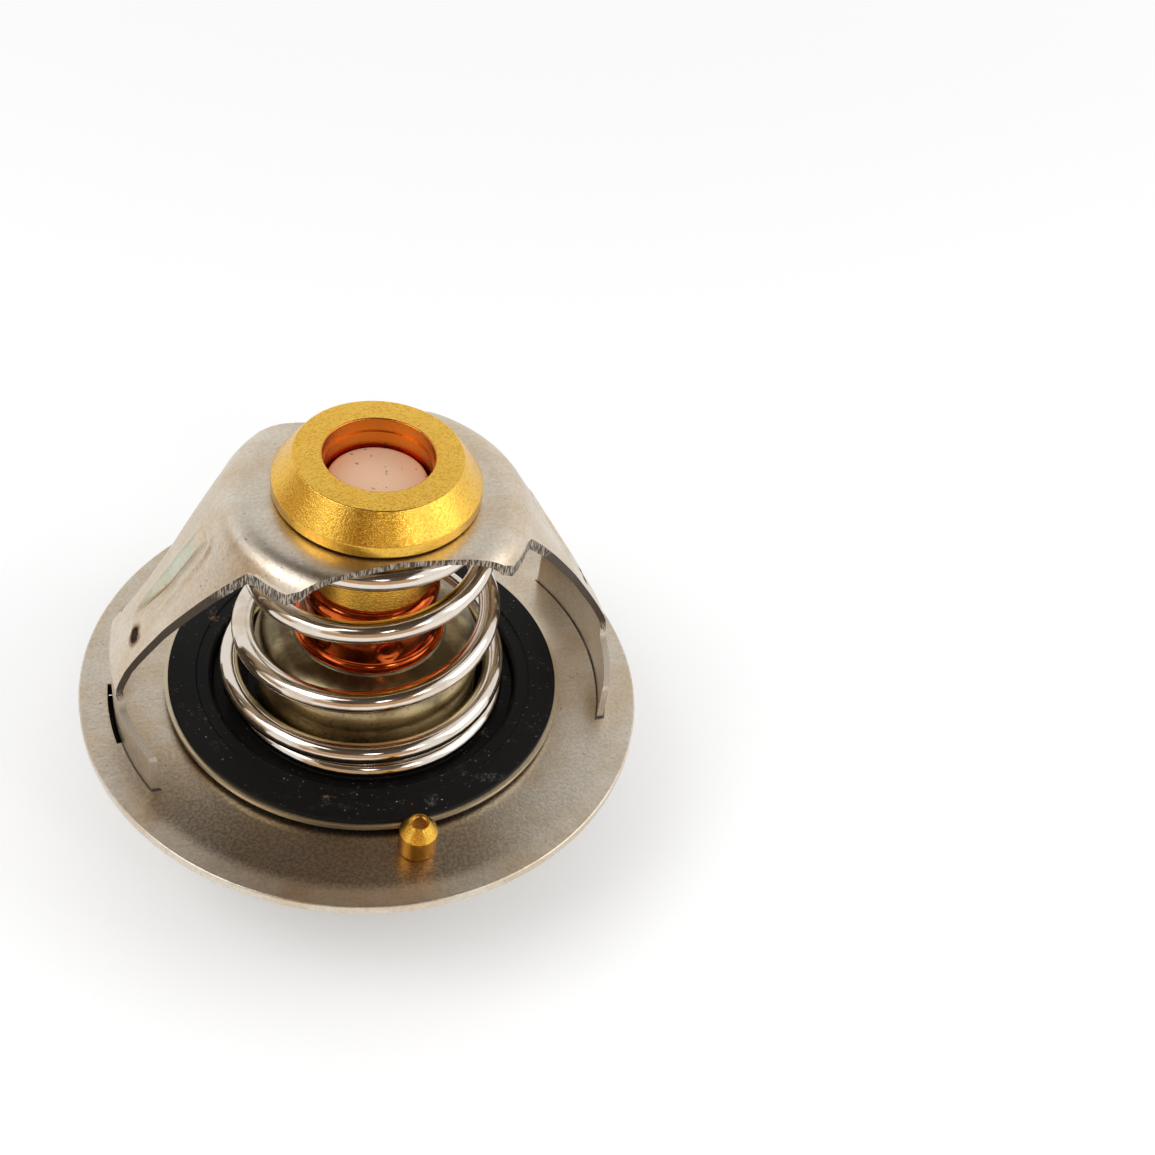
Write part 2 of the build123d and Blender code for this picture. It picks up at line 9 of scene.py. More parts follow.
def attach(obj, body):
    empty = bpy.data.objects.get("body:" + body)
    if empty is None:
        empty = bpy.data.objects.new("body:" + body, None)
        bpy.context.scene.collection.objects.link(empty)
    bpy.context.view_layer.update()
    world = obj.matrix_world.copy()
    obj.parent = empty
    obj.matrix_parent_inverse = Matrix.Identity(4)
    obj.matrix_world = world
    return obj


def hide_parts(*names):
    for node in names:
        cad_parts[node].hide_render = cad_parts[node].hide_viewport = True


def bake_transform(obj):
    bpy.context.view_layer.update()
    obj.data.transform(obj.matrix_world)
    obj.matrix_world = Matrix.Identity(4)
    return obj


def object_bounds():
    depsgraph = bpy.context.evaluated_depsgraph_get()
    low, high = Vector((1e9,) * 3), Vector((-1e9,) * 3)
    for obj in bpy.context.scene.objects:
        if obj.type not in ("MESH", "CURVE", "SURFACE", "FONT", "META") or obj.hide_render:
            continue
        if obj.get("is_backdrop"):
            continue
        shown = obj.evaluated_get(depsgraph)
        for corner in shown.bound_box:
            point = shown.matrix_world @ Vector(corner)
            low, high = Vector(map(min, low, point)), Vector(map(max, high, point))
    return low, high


bl_info = {
    "name": "Engine thermostat",
    "version": (1, 0, 0),
    "blender": (4, 5, 0),
    "location": "3D View > Sidebar > Thermostat",
    "description": "Models and finishes a flanged wax-element engine thermostat",
    "category": "Object",
}

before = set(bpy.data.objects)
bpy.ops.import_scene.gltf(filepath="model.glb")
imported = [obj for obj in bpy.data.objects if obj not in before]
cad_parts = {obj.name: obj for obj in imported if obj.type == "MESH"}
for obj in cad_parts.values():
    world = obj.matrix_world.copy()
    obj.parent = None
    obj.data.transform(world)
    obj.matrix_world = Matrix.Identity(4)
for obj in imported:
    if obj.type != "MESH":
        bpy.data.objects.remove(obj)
CAD_LOW, CAD_HIGH = (list(corner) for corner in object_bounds())

MM = 0.001
FULL_TURN = 2 * math.pi


# ---------------------------------------------------------------- sizes and colours

def length(name, description, default):
    """A length in millimetres that a user may change."""
    return bpy.props.FloatProperty(
        name=name, description=description, default=default, min=0.0, precision=2)


def colour(name, description, default):
    """A linear colour that a user may change."""
    return bpy.props.FloatVectorProperty(
        name=name, description=description, default=default,
        size=3, min=0.0, max=1.0, subtype="COLOR")


class ThermostatSizes(bpy.types.PropertyGroup):
    """Sizes in millimetres. Heights are above the flange's upper face, with the valve shut."""

    flange_r: length("Flange radius", "Outer radius of the flange", 43.0)
    flange_t: length("Flange thickness", "Thickness of the flange", 1.5)
    opening_r: length("Opening radius", "Radius of the valve opening", 28.0)
    sheet: length("Bridge sheet", "Thickness of both pressed bridges", 1.0)
    foot_r: length("Foot radius", "Outer radius of the curved feet", 38.0)
    foot_h: length("Foot height", "Height of the curved feet", 7.0)
    plate_z: length("Plate height", "Upper face of the bridge plate", 39.1)
    plate_r: length("Plate radius", "Outline radius of the bridge plate", 22.3)
    guide_r: length("Guide hole radius", "Hole in the bridge plate", 9.55)
    ring_z: length("Ring height", "Top of the bypass ring", 45.4)
    ring_r: length("Ring radius", "Rim of the bypass ring", 14.7)
    capsule_r: length("Capsule radius", "Upper cylinder of the wax capsule", 7.5)
    capsule_z: length("Capsule height", "End face of the wax capsule", 40.9)
    drum_r: length("Drum radius", "Wide drum of the wax capsule", 10.3)
    dome_r: length("Dome radius", "Outer radius of the disc's dome", 17.1)
    dome_z: length("Dome height", "Flat top of the dome", 12.6)
    disc_r: length("Disc radius", "Edge of the valve disc", 30.5)
    wire_r: length("Wire radius", "Spring wire", 1.6)
    pin_r: length("Jiggle pin radius", "Head of the jiggle pin", 2.75)


class ThermostatColours(bpy.types.PropertyGroup):
    """Base colours of the finishes."""

    plating: colour("Plating", "Satin plated sheet", (0.68, 0.60, 0.49))
    tarnish: colour("Tarnish", "Warm tarnish on the drawn disc", (0.17, 0.14, 0.08))
    wire: colour("Wire", "Bright spring wire", (0.72, 0.65, 0.57))
    brass: colour("Brass", "Turned brass", (0.84, 0.53, 0.085))
    copper: colour("Copper", "Drawn copper", (0.62, 0.12, 0.025))
    rubber: colour("Rubber", "Moulded rubber", (0.006, 0.0055, 0.005))
    dust: colour("Dust", "Dust on the rubber", (0.45, 0.44, 0.42))
    wax: colour("Wax", "Wax and copper powder", (0.30, 0.12, 0.06))
    plastic: colour("Washer", "Plain plastic washer", (0.80, 0.79, 0.74))
    floor: colour("Floor", "Floor under the part", (0.95, 0.95, 0.95))


# ---------------------------------------------------------------- shader expressions

class Expr:
    """A socket, or the two ends of node maths, written with ordinary operators."""

    def __init__(self, tree, socket):
        self.tree = tree
        self.socket = socket

    def _math(self, operation, *terms):
        node = self.tree.nodes.new("ShaderNodeMath")
        node.operation = operation
        for slot, term in zip(node.inputs, terms):
            if isinstance(term, Expr):
                self.tree.links.new(term.socket, slot)
            else:
                slot.default_value = term
        return Expr(self.tree, node.outputs[0])

    def __add__(self, other):
        return self._math("ADD", self, other)

    __radd__ = __add__

    def __sub__(self, other):
        return self._math("SUBTRACT", self, other)

    def __rsub__(self, other):
        return self._math("SUBTRACT", other, self)

    def __mul__(self, other):
        return self._math("MULTIPLY", self, other)

    __rmul__ = __mul__

    def __pow__(self, other):
        return self._math("POWER", self, other)

    def __or__(self, other):
        """The greater of the two."""
        return self._math("MAXIMUM", self, other)

    def above(self, edge, soft):
        """0 below the edge and 1 above it, over a soft step."""
        node = Graph(self.tree).node(
            "ShaderNodeMapRange", {"interpolation_type": "SMOOTHSTEP"},
            Value=self, From_Min=edge - soft, From_Max=edge + soft)
        return Expr(self.tree, node.outputs[0])

    def between(self, low, high, soft):
        """1 between two values, with soft ends."""
        return self.above(low, soft) * (1 - self.above(high, soft))


class Graph:
    """A node tree under construction."""

    def __init__(self, tree):
        self.tree = tree

    def node(self, kind, settings=None, **inputs):
        """Any node: its settings, then the values or links of its sockets, by name or _number."""
        node = self.tree.nodes.new(kind)
        for key, value in (settings or {}).items():
            setattr(node, key, value)
        for key, value in inputs.items():
            slot = node.inputs[int(key[1:]) if key[1:].isdigit() else key.replace("_", " ")]
            if isinstance(value, Expr):
                self.tree.links.new(value.socket, slot)
            elif isinstance(value, bpy.types.NodeSocket):
                self.tree.links.new(value, slot)
            else:
                slot.default_value = value
        return node

    def value(self, socket):
        """A socket that can be used in an expression."""
        return Expr(self.tree, socket)


class Finish(Graph):
    """A material under construction: its shader and its object coordinates."""

    def __init__(self, name, **constants):
        self.material = bpy.data.materials.new(name)
        self.material.use_nodes = True
        super().__init__(self.material.node_tree)
        self.shader = self.tree.nodes["Principled BSDF"]
        for socket, value in constants.items():
            self.shader.inputs[socket.replace("_", " ")].default_value = value
        self.place = self.node("ShaderNodeTexCoord").outputs["Object"]

    def xyz(self):
        """The object's own place along each axis, in millimetres."""
        parts = self.node("ShaderNodeSeparateXYZ", Vector=self.place).outputs
        return [self.value(part) * (1.0 / MM) for part in parts]

    def radius(self):
        """Distance from the valve's axis in millimetres."""
        x, y, _ = self.xyz()
        return (x * x + y * y) ** 0.5

    def noise(self, size_mm, detail=3.0, roughness=0.5, shift=0.0):
        """Noise with grains of about one size, from 0 to 1; a shift gives another pattern."""
        moved = self.node("ShaderNodeMapping", Vector=self.place, Location=(shift, shift, shift))
        made = self.node("ShaderNodeTexNoise", Vector=moved.outputs[0], Scale=1.0 / (size_mm * MM),
                         Detail=detail, Roughness=roughness)
        return self.value(made.outputs[0])

    def stretched_noise(self, cells, detail):
        """Noise with its own number of grains to the metre along each axis, from 0 to 1."""
        scaled = self.node("ShaderNodeMapping", Vector=self.place, Scale=cells)
        made = self.node("ShaderNodeTexNoise", Vector=scaled.outputs[0], Scale=1.0,
                         Detail=detail, Roughness=0.5)
        return self.value(made.outputs[0])

    def mix(self, share, first, second):
        """One colour into another by a share."""
        ends = [shade if isinstance(shade, bpy.types.NodeSocket) else (*shade, 1.0)
                for shade in (first, second)]
        node = self.node("ShaderNodeMix", {"data_type": "RGBA"},
                         _0=share, _6=ends[0], _7=ends[1])
        return node.outputs[2]

    def wear(self, colour, roughness, height, strength, depth_mm, metallic=None):
        """Links what varies over the surface to the shader, with a relief of a stated depth."""
        self.tree.links.new(colour, self.shader.inputs["Base Color"])
        self.tree.links.new(roughness.socket, self.shader.inputs["Roughness"])
        if metallic is not None:
            self.tree.links.new(metallic.socket, self.shader.inputs["Metallic"])
        bump = self.node("ShaderNodeBump", Strength=strength, Distance=depth_mm * MM, Height=height)
        self.tree.links.new(bump.outputs[0], self.shader.inputs["Normal"])
        return self.material


def toned(colour, *factors):
    """A colour times one factor, or times one each for red, green and blue."""
    return tuple(min(1.0, part * k) for part, k in zip(colour, factors * (3 // len(factors))))


# ---------------------------------------------------------------- finishes

VENT_PLACE = (0.0, -33.4)   # the jiggle pin's hole
DRAIN_R = 34.2              # where the drain hole of each leg lies, and how high
DRAIN_Z = 16.1


def groove_line(reach):
    """How far to the rear a leg's groove lies at a distance from the valve's axis."""
    return 0.2 * reach - 4.9


def distance(*parts):
    """The length of a vector from its parts, each a number or an expression."""
    return sum(part * part for part in parts) ** 0.5


def painted_dark_reflection(finish, clouds):
    """Where a painted dark brown reflection lies: on the vent's side of the flange, inside its
    raised rim.
    """
    x, y, z = finish.xyz()
    flat = (1 - finish.radius().above(39.6, 1.2)) * (1 - z.above(0.2, 0.2))
    return (-1 * y).above(16, 16) * flat * (0.55 + clouds * 0.6) * (1 - x.above(9, 9) * 0.85)


def painted_slot_and_seam_shade(finish):
    """Where painted shade lies: inside the slots, and in the seam round each foot as a painted
    contact shadow.
    """
    _, y, z = finish.xyz()
    radius = finish.radius()
    seam = radius.between(36.78, 38.2, 0.07) * z.between(-0.4, 0.15, 0.08)
    seam = seam * (y * y).between(-1.0, 16.0 ** 2, 6.0)
    return z.between(-3.2, -0.25, 0.12) * radius.between(36.0, 41.0, 0.3) | seam * 0.85


def plated_steel(colours):
    """Bright plating over rolled sheet, with leathery grain, waves, stains and pits, painted shade
    in slots, seams and a groove, and a painted dark reflection on the flange's front.
    """
    finish = Finish("plated_steel", Metallic=1.0, Roughness=0.22)
    base = colours.plating
    x, y, z = finish.xyz()
    clouds = finish.noise(11.0, detail=5.0, roughness=0.6)
    waves = finish.noise(5.0, detail=2.0, shift=0.7)
    grain = finish.noise(0.9, detail=4.0, roughness=0.62)
    pits = finish.noise(0.6, detail=1.0, shift=0.31).above(0.76, 0.02)
    sparkle = finish.noise(0.50, detail=3.0, roughness=0.7, shift=0.6)
    streaks = finish.stretched_noise((90.0, 900.0, 300.0), detail=4.0)
    warm, pale = toned(base, 0.94, 0.87, 0.78), toned(base, 1.05, 1.07, 1.10)
    tone = finish.mix(clouds.above(0.50, 0.14), warm, pale)
    tone = finish.mix(streaks.above(0.58, 0.08) * 0.12, tone, toned(base, 0.55))
    tone = finish.mix(pits * 0.6, tone, toned(base, 0.18))
    # painted reflection: the flange's front, on the vent's side, painted dark brown, with denser
    # dark specks there
    dark_reflection = painted_dark_reflection(finish, clouds)
    tone = finish.mix(dark_reflection * 0.75, tone, toned(base, 0.30, 0.25, 0.19))
    specks = sparkle.above(0.50, 0.08) * (0.16 + dark_reflection * 0.7)
    tone = finish.mix(specks, tone, toned(base, 0.28))
    # painted shade as a dark line, and verdigris, along the rear wall of the left leg's groove
    beside = y - groove_line(-1 * x)
    leg = (-1 * x).between(25.0, 32.6, 0.9) * z.above(13, 1)
    painted_groove_shade = beside.between(1.3, 1.5, 0.12) * leg * 0.6
    tone = finish.mix(painted_groove_shade, tone, (0.10, 0.07, 0.05))
    verdigris = beside.between(1.7, 2.7, 0.3) * leg * (0.1 + clouds * 0.7)
    tone = finish.mix(verdigris, tone, (0.44, 0.60, 0.50))
    # brown in and round the drain holes, duller and less metallic there
    reach = distance(finish.radius() - DRAIN_R, y, z - DRAIN_Z)
    drain_brown = 1 - (reach + (clouds - 0.5) * 2.0).above(1.55, 0.45)
    tone = finish.mix(drain_brown * 0.9, tone, (0.22, 0.10, 0.025))
    # painted shade: near black inside the slots and along the seam round each foot
    painted_slot_shade = painted_slot_and_seam_shade(finish)
    tone = finish.mix(painted_slot_shade, tone, (0.012, 0.009, 0.007))
    # the painted shade and the brown round the drain holes are also duller and less metallic
    darkened = drain_brown | painted_slot_shade
    return finish.wear(
        tone, 0.20 + grain * 0.16 + clouds * 0.08 + darkened * 0.4, metallic=1 - darkened * 0.8,
        height=waves * 1.2 + grain * 0.5 + sparkle * 0.8, strength=0.30, depth_mm=0.12)


def sheared_steel(colours):
    """The sheared edge of plated sheet: ticked across and browner down the legs, its brown partly
    its own and partly painted shade.
    """
    finish = Finish("sheared_steel", Metallic=1.0, Roughness=0.4, Specular_IOR_Level=0.15)
    _, _, z = finish.xyz()
    ticks = finish.stretched_noise((4800.0, 4800.0, 700.0), detail=2.0)
    leg = z.between(8.6, 31.0, 1.2) * (0.97 - ticks.above(0.59, 0.03) * 0.6)
    foot = 1 - z.above(8.0, 0.6)
    # painted shade inside the slots
    painted_shade_in_slot = (1 - z.above(-0.1, 0.1)) * z.above(-3.2, 0.1)
    # dark brown, partly the edge's own colour and partly painted shade; darkest down the legs,
    # paler at the feet
    brown = (0.35 + ticks.above(0.48, 0.08) * 0.6 | leg) * (1 - foot * 0.75) | painted_shade_in_slot
    tone = finish.mix(brown, colours.plating, (0.050, 0.032, 0.020))
    return finish.wear(tone, 0.40 + ticks * 0.2, metallic=1 - brown * 0.9,
                       height=ticks, strength=0.4, depth_mm=0.10)


def valve_steel(colours):
    """Drawn sheet under a brown-olive tarnish, rubbed pale in patches, with fine orange peel, a
    side painted paler as a painted reflection and a rim painted pale as a painted highlight.
    """
    finish = Finish("valve_steel", Metallic=1.0, Roughness=0.3)
    base = colours.tarnish
    _, _, z = finish.xyz()
    patches = finish.noise(7.0, detail=5.0, roughness=0.6)
    peel = finish.noise(0.5, detail=3.0, roughness=0.6)
    waves = finish.noise(4.0, detail=2.0, shift=0.4)
    tone = finish.mix(patches.above(0.56, 0.12), base, toned(base, 2.6))
    # painted reflection: below 10.2 mm, on the dome's side, the sheet is painted paler in patches
    # than its top
    side = (1 - z.above(10.2, 1.4)) * patches.above(0.40, 0.12)
    tone = finish.mix(side * 0.85, tone, toned(base, 3.2))
    tone = finish.mix(peel.above(0.62, 0.06) * 0.5, tone, toned(base, 0.5))
    # painted highlight: the disc's rim painted pale
    painted_rim_highlight = finish.radius().above(29.2, 0.2)
    tone = finish.mix(painted_rim_highlight, tone, (0.62, 0.53, 0.38))
    return finish.wear(tone, 0.20 + peel * 0.14 + patches * 0.10,
                       height=waves * 2.0 + peel, strength=0.30, depth_mm=0.06)


def spring_steel(colours):
    """Bright drawn wire with fine lines and slight stains."""
    finish = Finish("spring_steel", Metallic=1.0, Roughness=0.16)
    base = colours.wire
    stains = finish.noise(5.0, detail=4.0)
    grain = finish.noise(0.25, detail=2.0)
    tone = finish.mix(stains.above(0.6, 0.1) * 0.6, base, toned(base, 0.75, 0.66, 0.55))
    return finish.wear(tone, 0.05 + grain * 0.06 + stains * 0.08,
                       height=grain, strength=0.05, depth_mm=0.02)


def turned_brass(colours):
    """Brass with a coarse sparkling grain, a bore painted red and a bevel painted darker as painted
    reflections, and a reddened pin stem and pin tip.
    """
    finish = Finish("brass", Metallic=1.0, Roughness=0.2)
    base = colours.brass
    x, y, z = finish.xyz()
    radius = finish.radius()
    flecks = finish.noise(0.40, detail=3.0, roughness=0.7)
    grain = finish.noise(0.20, detail=2.0)
    dull = finish.noise(3.0, detail=4.0)
    bevel = (radius * 1.41 + z).above(63.0, 0.4) * z.above(38.0, 0.5)
    bore_reflection = (1 - radius.above(7.95, 0.05)) * z.above(40.0, 0.2)
    stem = (-1 * y).above(25.0, 1.0) * (1 - z.above(3.8, 0.1))
    from_pin = distance(x - VENT_PLACE[0], y - VENT_PLACE[1])
    tip = (1 - from_pin.above(1.2, 0.12)) * z.between(5.2, 7.5, 0.1)
    tone = finish.mix(flecks.above(0.54, 0.05) * 0.6, base, toned(base, 0.80, 0.60, 0.40))
    # dull worn patches all over, and on the bevel a painted darker reflection
    worn_and_bevel_reflection = dull.above(0.44, 0.2) * (0.20 + bevel * 0.75)
    tone = finish.mix(worn_and_bevel_reflection, tone, toned(base, 0.84, 0.62, 0.40))
    # painted reflection: the bore painted deep red for the copper it reflects
    tone = finish.mix(bore_reflection * 0.85, tone, (0.66, 0.20, 0.03))
    tone = finish.mix(stem * 0.75, tone, (0.78, 0.33, 0.03))
    tone = finish.mix(tip * 0.8, tone, (0.34, 0.11, 0.02))
    return finish.wear(tone, 0.13 + grain * 0.10 + dull * 0.06,
                       height=flecks + grain * 0.4, strength=0.6, depth_mm=0.07)


def drawn_copper(colours):
    """Copper under a glassy dark red lacquer, with a plain dull end face."""
    finish = Finish("copper", Metallic=1.0, Roughness=0.1)
    base = colours.copper
    _, _, z = finish.xyz()
    stains = finish.noise(3.5, detail=4.0)
    grain = finish.noise(0.3, detail=2.0)
    waves = finish.noise(2.6, detail=1.0, shift=0.2)
    spots = finish.noise(0.7, detail=1.0, shift=0.43).above(0.72, 0.02)
    end = z.above(40.75, 0.08)
    lacquer = finish.mix(stains.above(0.50, 0.12) * 0.8, base, toned(base, 0.45, 0.32, 0.32))
    dull = finish.mix(spots * 0.7, (0.95, 0.66, 0.45), (0.30, 0.12, 0.05))
    tone = finish.mix(end, lacquer, dull)
    rough = 0.06 + grain * 0.05 + stains * 0.06 + end * 0.45
    return finish.wear(tone, rough, metallic=1 - end * 0.65,
                       height=waves * 3.0 + grain * 0.3, strength=0.25, depth_mm=0.06)


def moulded_rubber(colours):
    """Black rubber, rubbed brown in a ring, with smears and a few pale specks of dust."""
    finish = Finish("rubber", Metallic=0.0, Roughness=0.5, Specular_IOR_Level=0.14)
    scuffs = finish.noise(4.0, detail=6.0, roughness=0.65)
    dots = finish.noise(0.34, detail=1.0, shift=0.17)
    ring = finish.radius().between(25.2, 26.3, 0.25)
    smears = scuffs.above(0.62, 0.06) * dots.above(0.52, 0.10)
    specks = dots.above(0.765, 0.015) * scuffs.above(0.48, 0.05)
    brown = ring * scuffs.above(0.62, 0.05) * dots.above(0.50, 0.1)
    tone = finish.mix(smears * 0.12 + specks * 0.9, colours.rubber, colours.dust)
    tone = finish.mix(brown * 0.8, tone, (0.30, 0.13, 0.05))
    return finish.wear(tone, 0.40 + smears * 0.3 + scuffs * 0.15,
                       height=dots, strength=0.15, depth_mm=0.04)


def ground_rod(colours):
    """Ground and polished steel."""
    finish = Finish("rod_steel", Metallic=1.0, Roughness=0.14)
    grain = finish.noise(0.3, detail=2.0)
    tone = finish.mix(grain * 0.3, (0.72, 0.72, 0.72), (0.50, 0.50, 0.50))
    return finish.wear(tone, 0.10 + grain * 0.08, height=grain, strength=0.04, depth_mm=0.02)


def wax_mix(colours):
    """Wax mixed with copper powder."""
    finish = Finish("wax", Roughness=0.5)
    grain = finish.noise(0.4, detail=2.0)
    tone = finish.mix(grain.above(0.5, 0.1), colours.wax, (0.55, 0.28, 0.14))
    return finish.wear(tone, 0.4 + grain * 0.2, height=grain, strength=0.2, depth_mm=0.05)


def washer_plastic(colours):
    """Plain turned plastic."""
    finish = Finish("washer_plastic", Roughness=0.45)
    grain = finish.noise(0.3, detail=2.0)
    tone = finish.mix(grain * 0.3, colours.plastic, toned(colours.plastic, 0.8))
    return finish.wear(tone, 0.4 + grain * 0.1, height=grain, strength=0.1, depth_mm=0.02)


FINISHES = {
    "plated_steel": plated_steel,
    "sheared_steel": sheared_steel,
    "valve_steel": valve_steel,
    "spring_steel": spring_steel,
    "brass": turned_brass,
    "copper": drawn_copper,
    "rubber": moulded_rubber,
    "rod_steel": ground_rod,
    "wax": wax_mix,
    "washer_plastic": washer_plastic,
}


def finish_for(slot):
    """The material of a slot, made once."""
    name = f"{slot}_finish"
    if name not in bpy.data.materials:
        FINISHES[slot](bpy.context.scene.thermostat_colours).name = name
    return bpy.data.materials[name]


# ---------------------------------------------------------------- modelling by hand, in code

ARC_STEPS = 6            # straight pieces in a quarter of a rounded corner
MERGE = 1e-6             # vertices closer than this, in metres, are one
SMOOTH_ANGLE = 35.0      # edges bent less than this, in degrees, are shaded smooth
SOFTEN_ANGLE = 40.0      # edges bent more than this, in degrees, are bevelled
PRESS_SMOOTHING = 5      # rounds of smoothing over a pressed form


def only(obj):
    """Makes one object the only selected and active one."""
    bpy.ops.object.select_all(action="DESELECT")
    obj.select_set(True)
    bpy.context.view_layer.objects.active = obj


def rounded(corners):
    """Points of an outline whose corners (across, up, radius) are rounded with arcs."""
    points = []
    for i, (r, z, radius) in enumerate(corners):
        here = Vector((r, z))
        if not radius or i in (0, len(corners) - 1):
            points.append(here)
            continue
        back = Vector(corners[i - 1][:2]) - here
        ahead = Vector(corners[i + 1][:2]) - here
        half = back.angle(ahead) / 2
        back.normalize()
        ahead.normalize()
        centre = here + (back + ahead).normalized() * radius / math.sin(half)
        start = here + back * radius / math.tan(half) - centre
        sweep = math.pi - 2 * half
        turn = 1 if back.x * ahead.y - back.y * ahead.x < 0 else -1
        arcs = max(2, round(ARC_STEPS * sweep / (math.pi / 2)))
        for k in range(arcs + 1):
            points.append(centre + Matrix.Rotation(turn * sweep * k / arcs, 2) @ start)
    return points


def draw_line(points):
    """Extrudes one vertex along points in millimetres; the new mesh is left in edit mode."""
    bpy.ops.object.select_all(action="DESELECT")
    first = Vector(points[0]) * MM
    bpy.ops.mesh.primitive_plane_add(size=MM, location=(0, 0, 0))
    bpy.ops.object.mode_set(mode="EDIT")
    bpy.ops.mesh.select_all(action="SELECT")
    bpy.ops.mesh.merge(type="CENTER")
    bpy.ops.transform.translate(value=first)
    for a, b in zip(points, points[1:]):
        step = (Vector(b) - Vector(a)) * MM
        bpy.ops.mesh.extrude_region_move(TRANSFORM_OT_translate={"value": step})
    return bpy.context.active_object


def close_up(obj, angle=SMOOTH_ANGLE):
    """Merges doubles, points the faces outwards and smooths the shading."""
    only(obj)
    bpy.ops.object.mode_set(mode="EDIT")
    bpy.ops.mesh.select_all(action="SELECT")
    bpy.ops.mesh.remove_doubles(threshold=MERGE)
    bpy.ops.mesh.normals_make_consistent(inside=False)
    bpy.ops.object.mode_set(mode="OBJECT")
    bpy.ops.object.shade_smooth_by_angle(angle=math.radians(angle))
    return obj


def lathe(name, corners, steps=180, start=0.0, sweep=FULL_TURN, centre=(0, 0)):
    """A turned piece: an outline (r, z, corner radius) in millimetres, spun about an upright axis.

    An outline that starts and ends on the axis stays open; any other one is closed.
    """
    points = [(centre[0] + p.x, centre[1], p.y) for p in rounded(corners)]
    if corners[0][0] or corners[-1][0]:
        points.append(points[0])
    obj = draw_line(points)
    obj.name = name
    bpy.ops.mesh.select_all(action="SELECT")
    pivot = (centre[0] * MM, centre[1] * MM, 0)
    if sweep < FULL_TURN:
        bpy.ops.transform.rotate(
            value=-(start + sweep), orient_axis="Z", center_override=pivot)
    bpy.ops.mesh.spin(steps=steps, angle=sweep, center=pivot, axis=(0, 0, 1))
    if sweep < FULL_TURN:
        bpy.ops.mesh.select_all(action="SELECT")
        bpy.ops.mesh.fill_holes(sides=0)
    bpy.ops.object.mode_set(mode="OBJECT")
    only(obj)
    bpy.ops.object.transform_apply(location=True, rotation=True, scale=True)
    return close_up(obj)


def dress(obj, body, slot, *nodes):
    """Gives a finished piece its shading, its slot's material when it has none, and its body, and
    hides the nodes it stands for.
    """
    only(obj)
    modifier = obj.modifiers.new("flats", "WEIGHTED_NORMAL")
    modifier.mode = "FACE_AREA"
    modifier.keep_sharp = True
    bpy.ops.object.modifier_apply(modifier=modifier.name)
    if not obj.data.materials:
        obj.data.materials.append(finish_for(slot))
    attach(obj, body)
    if nodes:
        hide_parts(*nodes)
    return obj


def sheared(cutter):
    """Makes a cutter leave the finish of a sheared edge on what it cuts."""
    cutter.data.materials.append(finish_for("sheared_steel"))
    return cutter


def carve(obj, cutter, operation):
    """Applies a Boolean with a closed cutter, which is then removed. It must leave some faces."""
    only(obj)
    modifier = obj.modifiers.new("carve", "BOOLEAN")
    modifier.operation = operation
    modifier.solver = "EXACT"
    modifier.material_mode = "TRANSFER" if cutter.data.materials else "INDEX"
    modifier.object = cutter
    bpy.ops.object.modifier_apply(modifier=modifier.name)
    bpy.data.objects.remove(cutter)
    if not obj.data.polygons:
        raise RuntimeError(f"nothing was left of {obj.name} after it was carved")


def prism(name, corners, low, high, face="XY"):
    """A closed prism: an outline in millimetres in one plane, run between two levels across it."""
    flat = rounded(corners)
    flat.append(flat[0])
    place = {"XY": lambda p: (p.x, p.y, low), "YZ": lambda p: (low, p.x, p.y)}[face]
    obj = draw_line([place(p) for p in flat])
    obj.name = name
    bpy.ops.mesh.select_all(action="SELECT")
    bpy.ops.mesh.remove_doubles(threshold=MERGE)
    bpy.ops.mesh.edge_face_add()
    reach = (high - low) * MM
    move = {"XY": (0, 0, reach), "YZ": (reach, 0, 0)}[face]
    bpy.ops.mesh.extrude_region_move(TRANSFORM_OT_translate={"value": move})
    bpy.ops.object.mode_set(mode="OBJECT")
    only(obj)
    bpy.ops.object.transform_apply(location=True, rotation=True, scale=True)
    return close_up(obj)


def soften(obj, width_mm):
    """Breaks sharp edges with a narrow bevel."""
    only(obj)
    modifier = obj.modifiers.new("soften", "BEVEL")
    modifier.width = width_mm * MM
    modifier.segments = 2
    modifier.limit_method = "ANGLE"
    modifier.angle_limit = math.radians(SOFTEN_ANGLE)
    modifier.miter_outer = "MITER_ARC"
    modifier.use_clamp_overlap = True
    bpy.ops.object.modifier_apply(modifier=modifier.name)
    bpy.ops.object.shade_smooth_by_angle(angle=math.radians(SMOOTH_ANGLE))
    return obj


def ease(share):
    """A soft step from 0 to 1."""
    share = min(1.0, max(0.0, share))
    return share * share * (3 - 2 * share)


def press(obj, height_mm, share):
    """Presses a form into sheet, both skins together.

    share(x, y, z) runs from 0 outside the form to 1 where it has its full height.
    """
    skins = {"outer_skin": height_mm, "inner_skin": -height_mm}
    for name in skins:
        obj.vertex_groups.new(name=name)
    for vertex in obj.data.vertices:
        x, y, z = (c / MM for c in vertex.co)
        part = share(x, y, z)
        if part > 0:
            outward = vertex.normal.x * x + vertex.normal.y * y > 0
            group = obj.vertex_groups["outer_skin" if outward else "inner_skin"]
            group.add([vertex.index], part, "REPLACE")
    only(obj)
    for name, height in skins.items():
        push = obj.modifiers.new(name, "DISPLACE")
        push.mid_level = 0.0
        push.strength = height * MM
        push.vertex_group = name
        bpy.ops.object.modifier_apply(modifier=push.name)
        ease_off = obj.modifiers.new(name, "SMOOTH")
        ease_off.factor = 0.5
        ease_off.iterations = PRESS_SMOOTHING
        ease_off.vertex_group = name
        bpy.ops.object.modifier_apply(modifier=ease_off.name)
    obj.vertex_groups.clear()
    return close_up(obj)


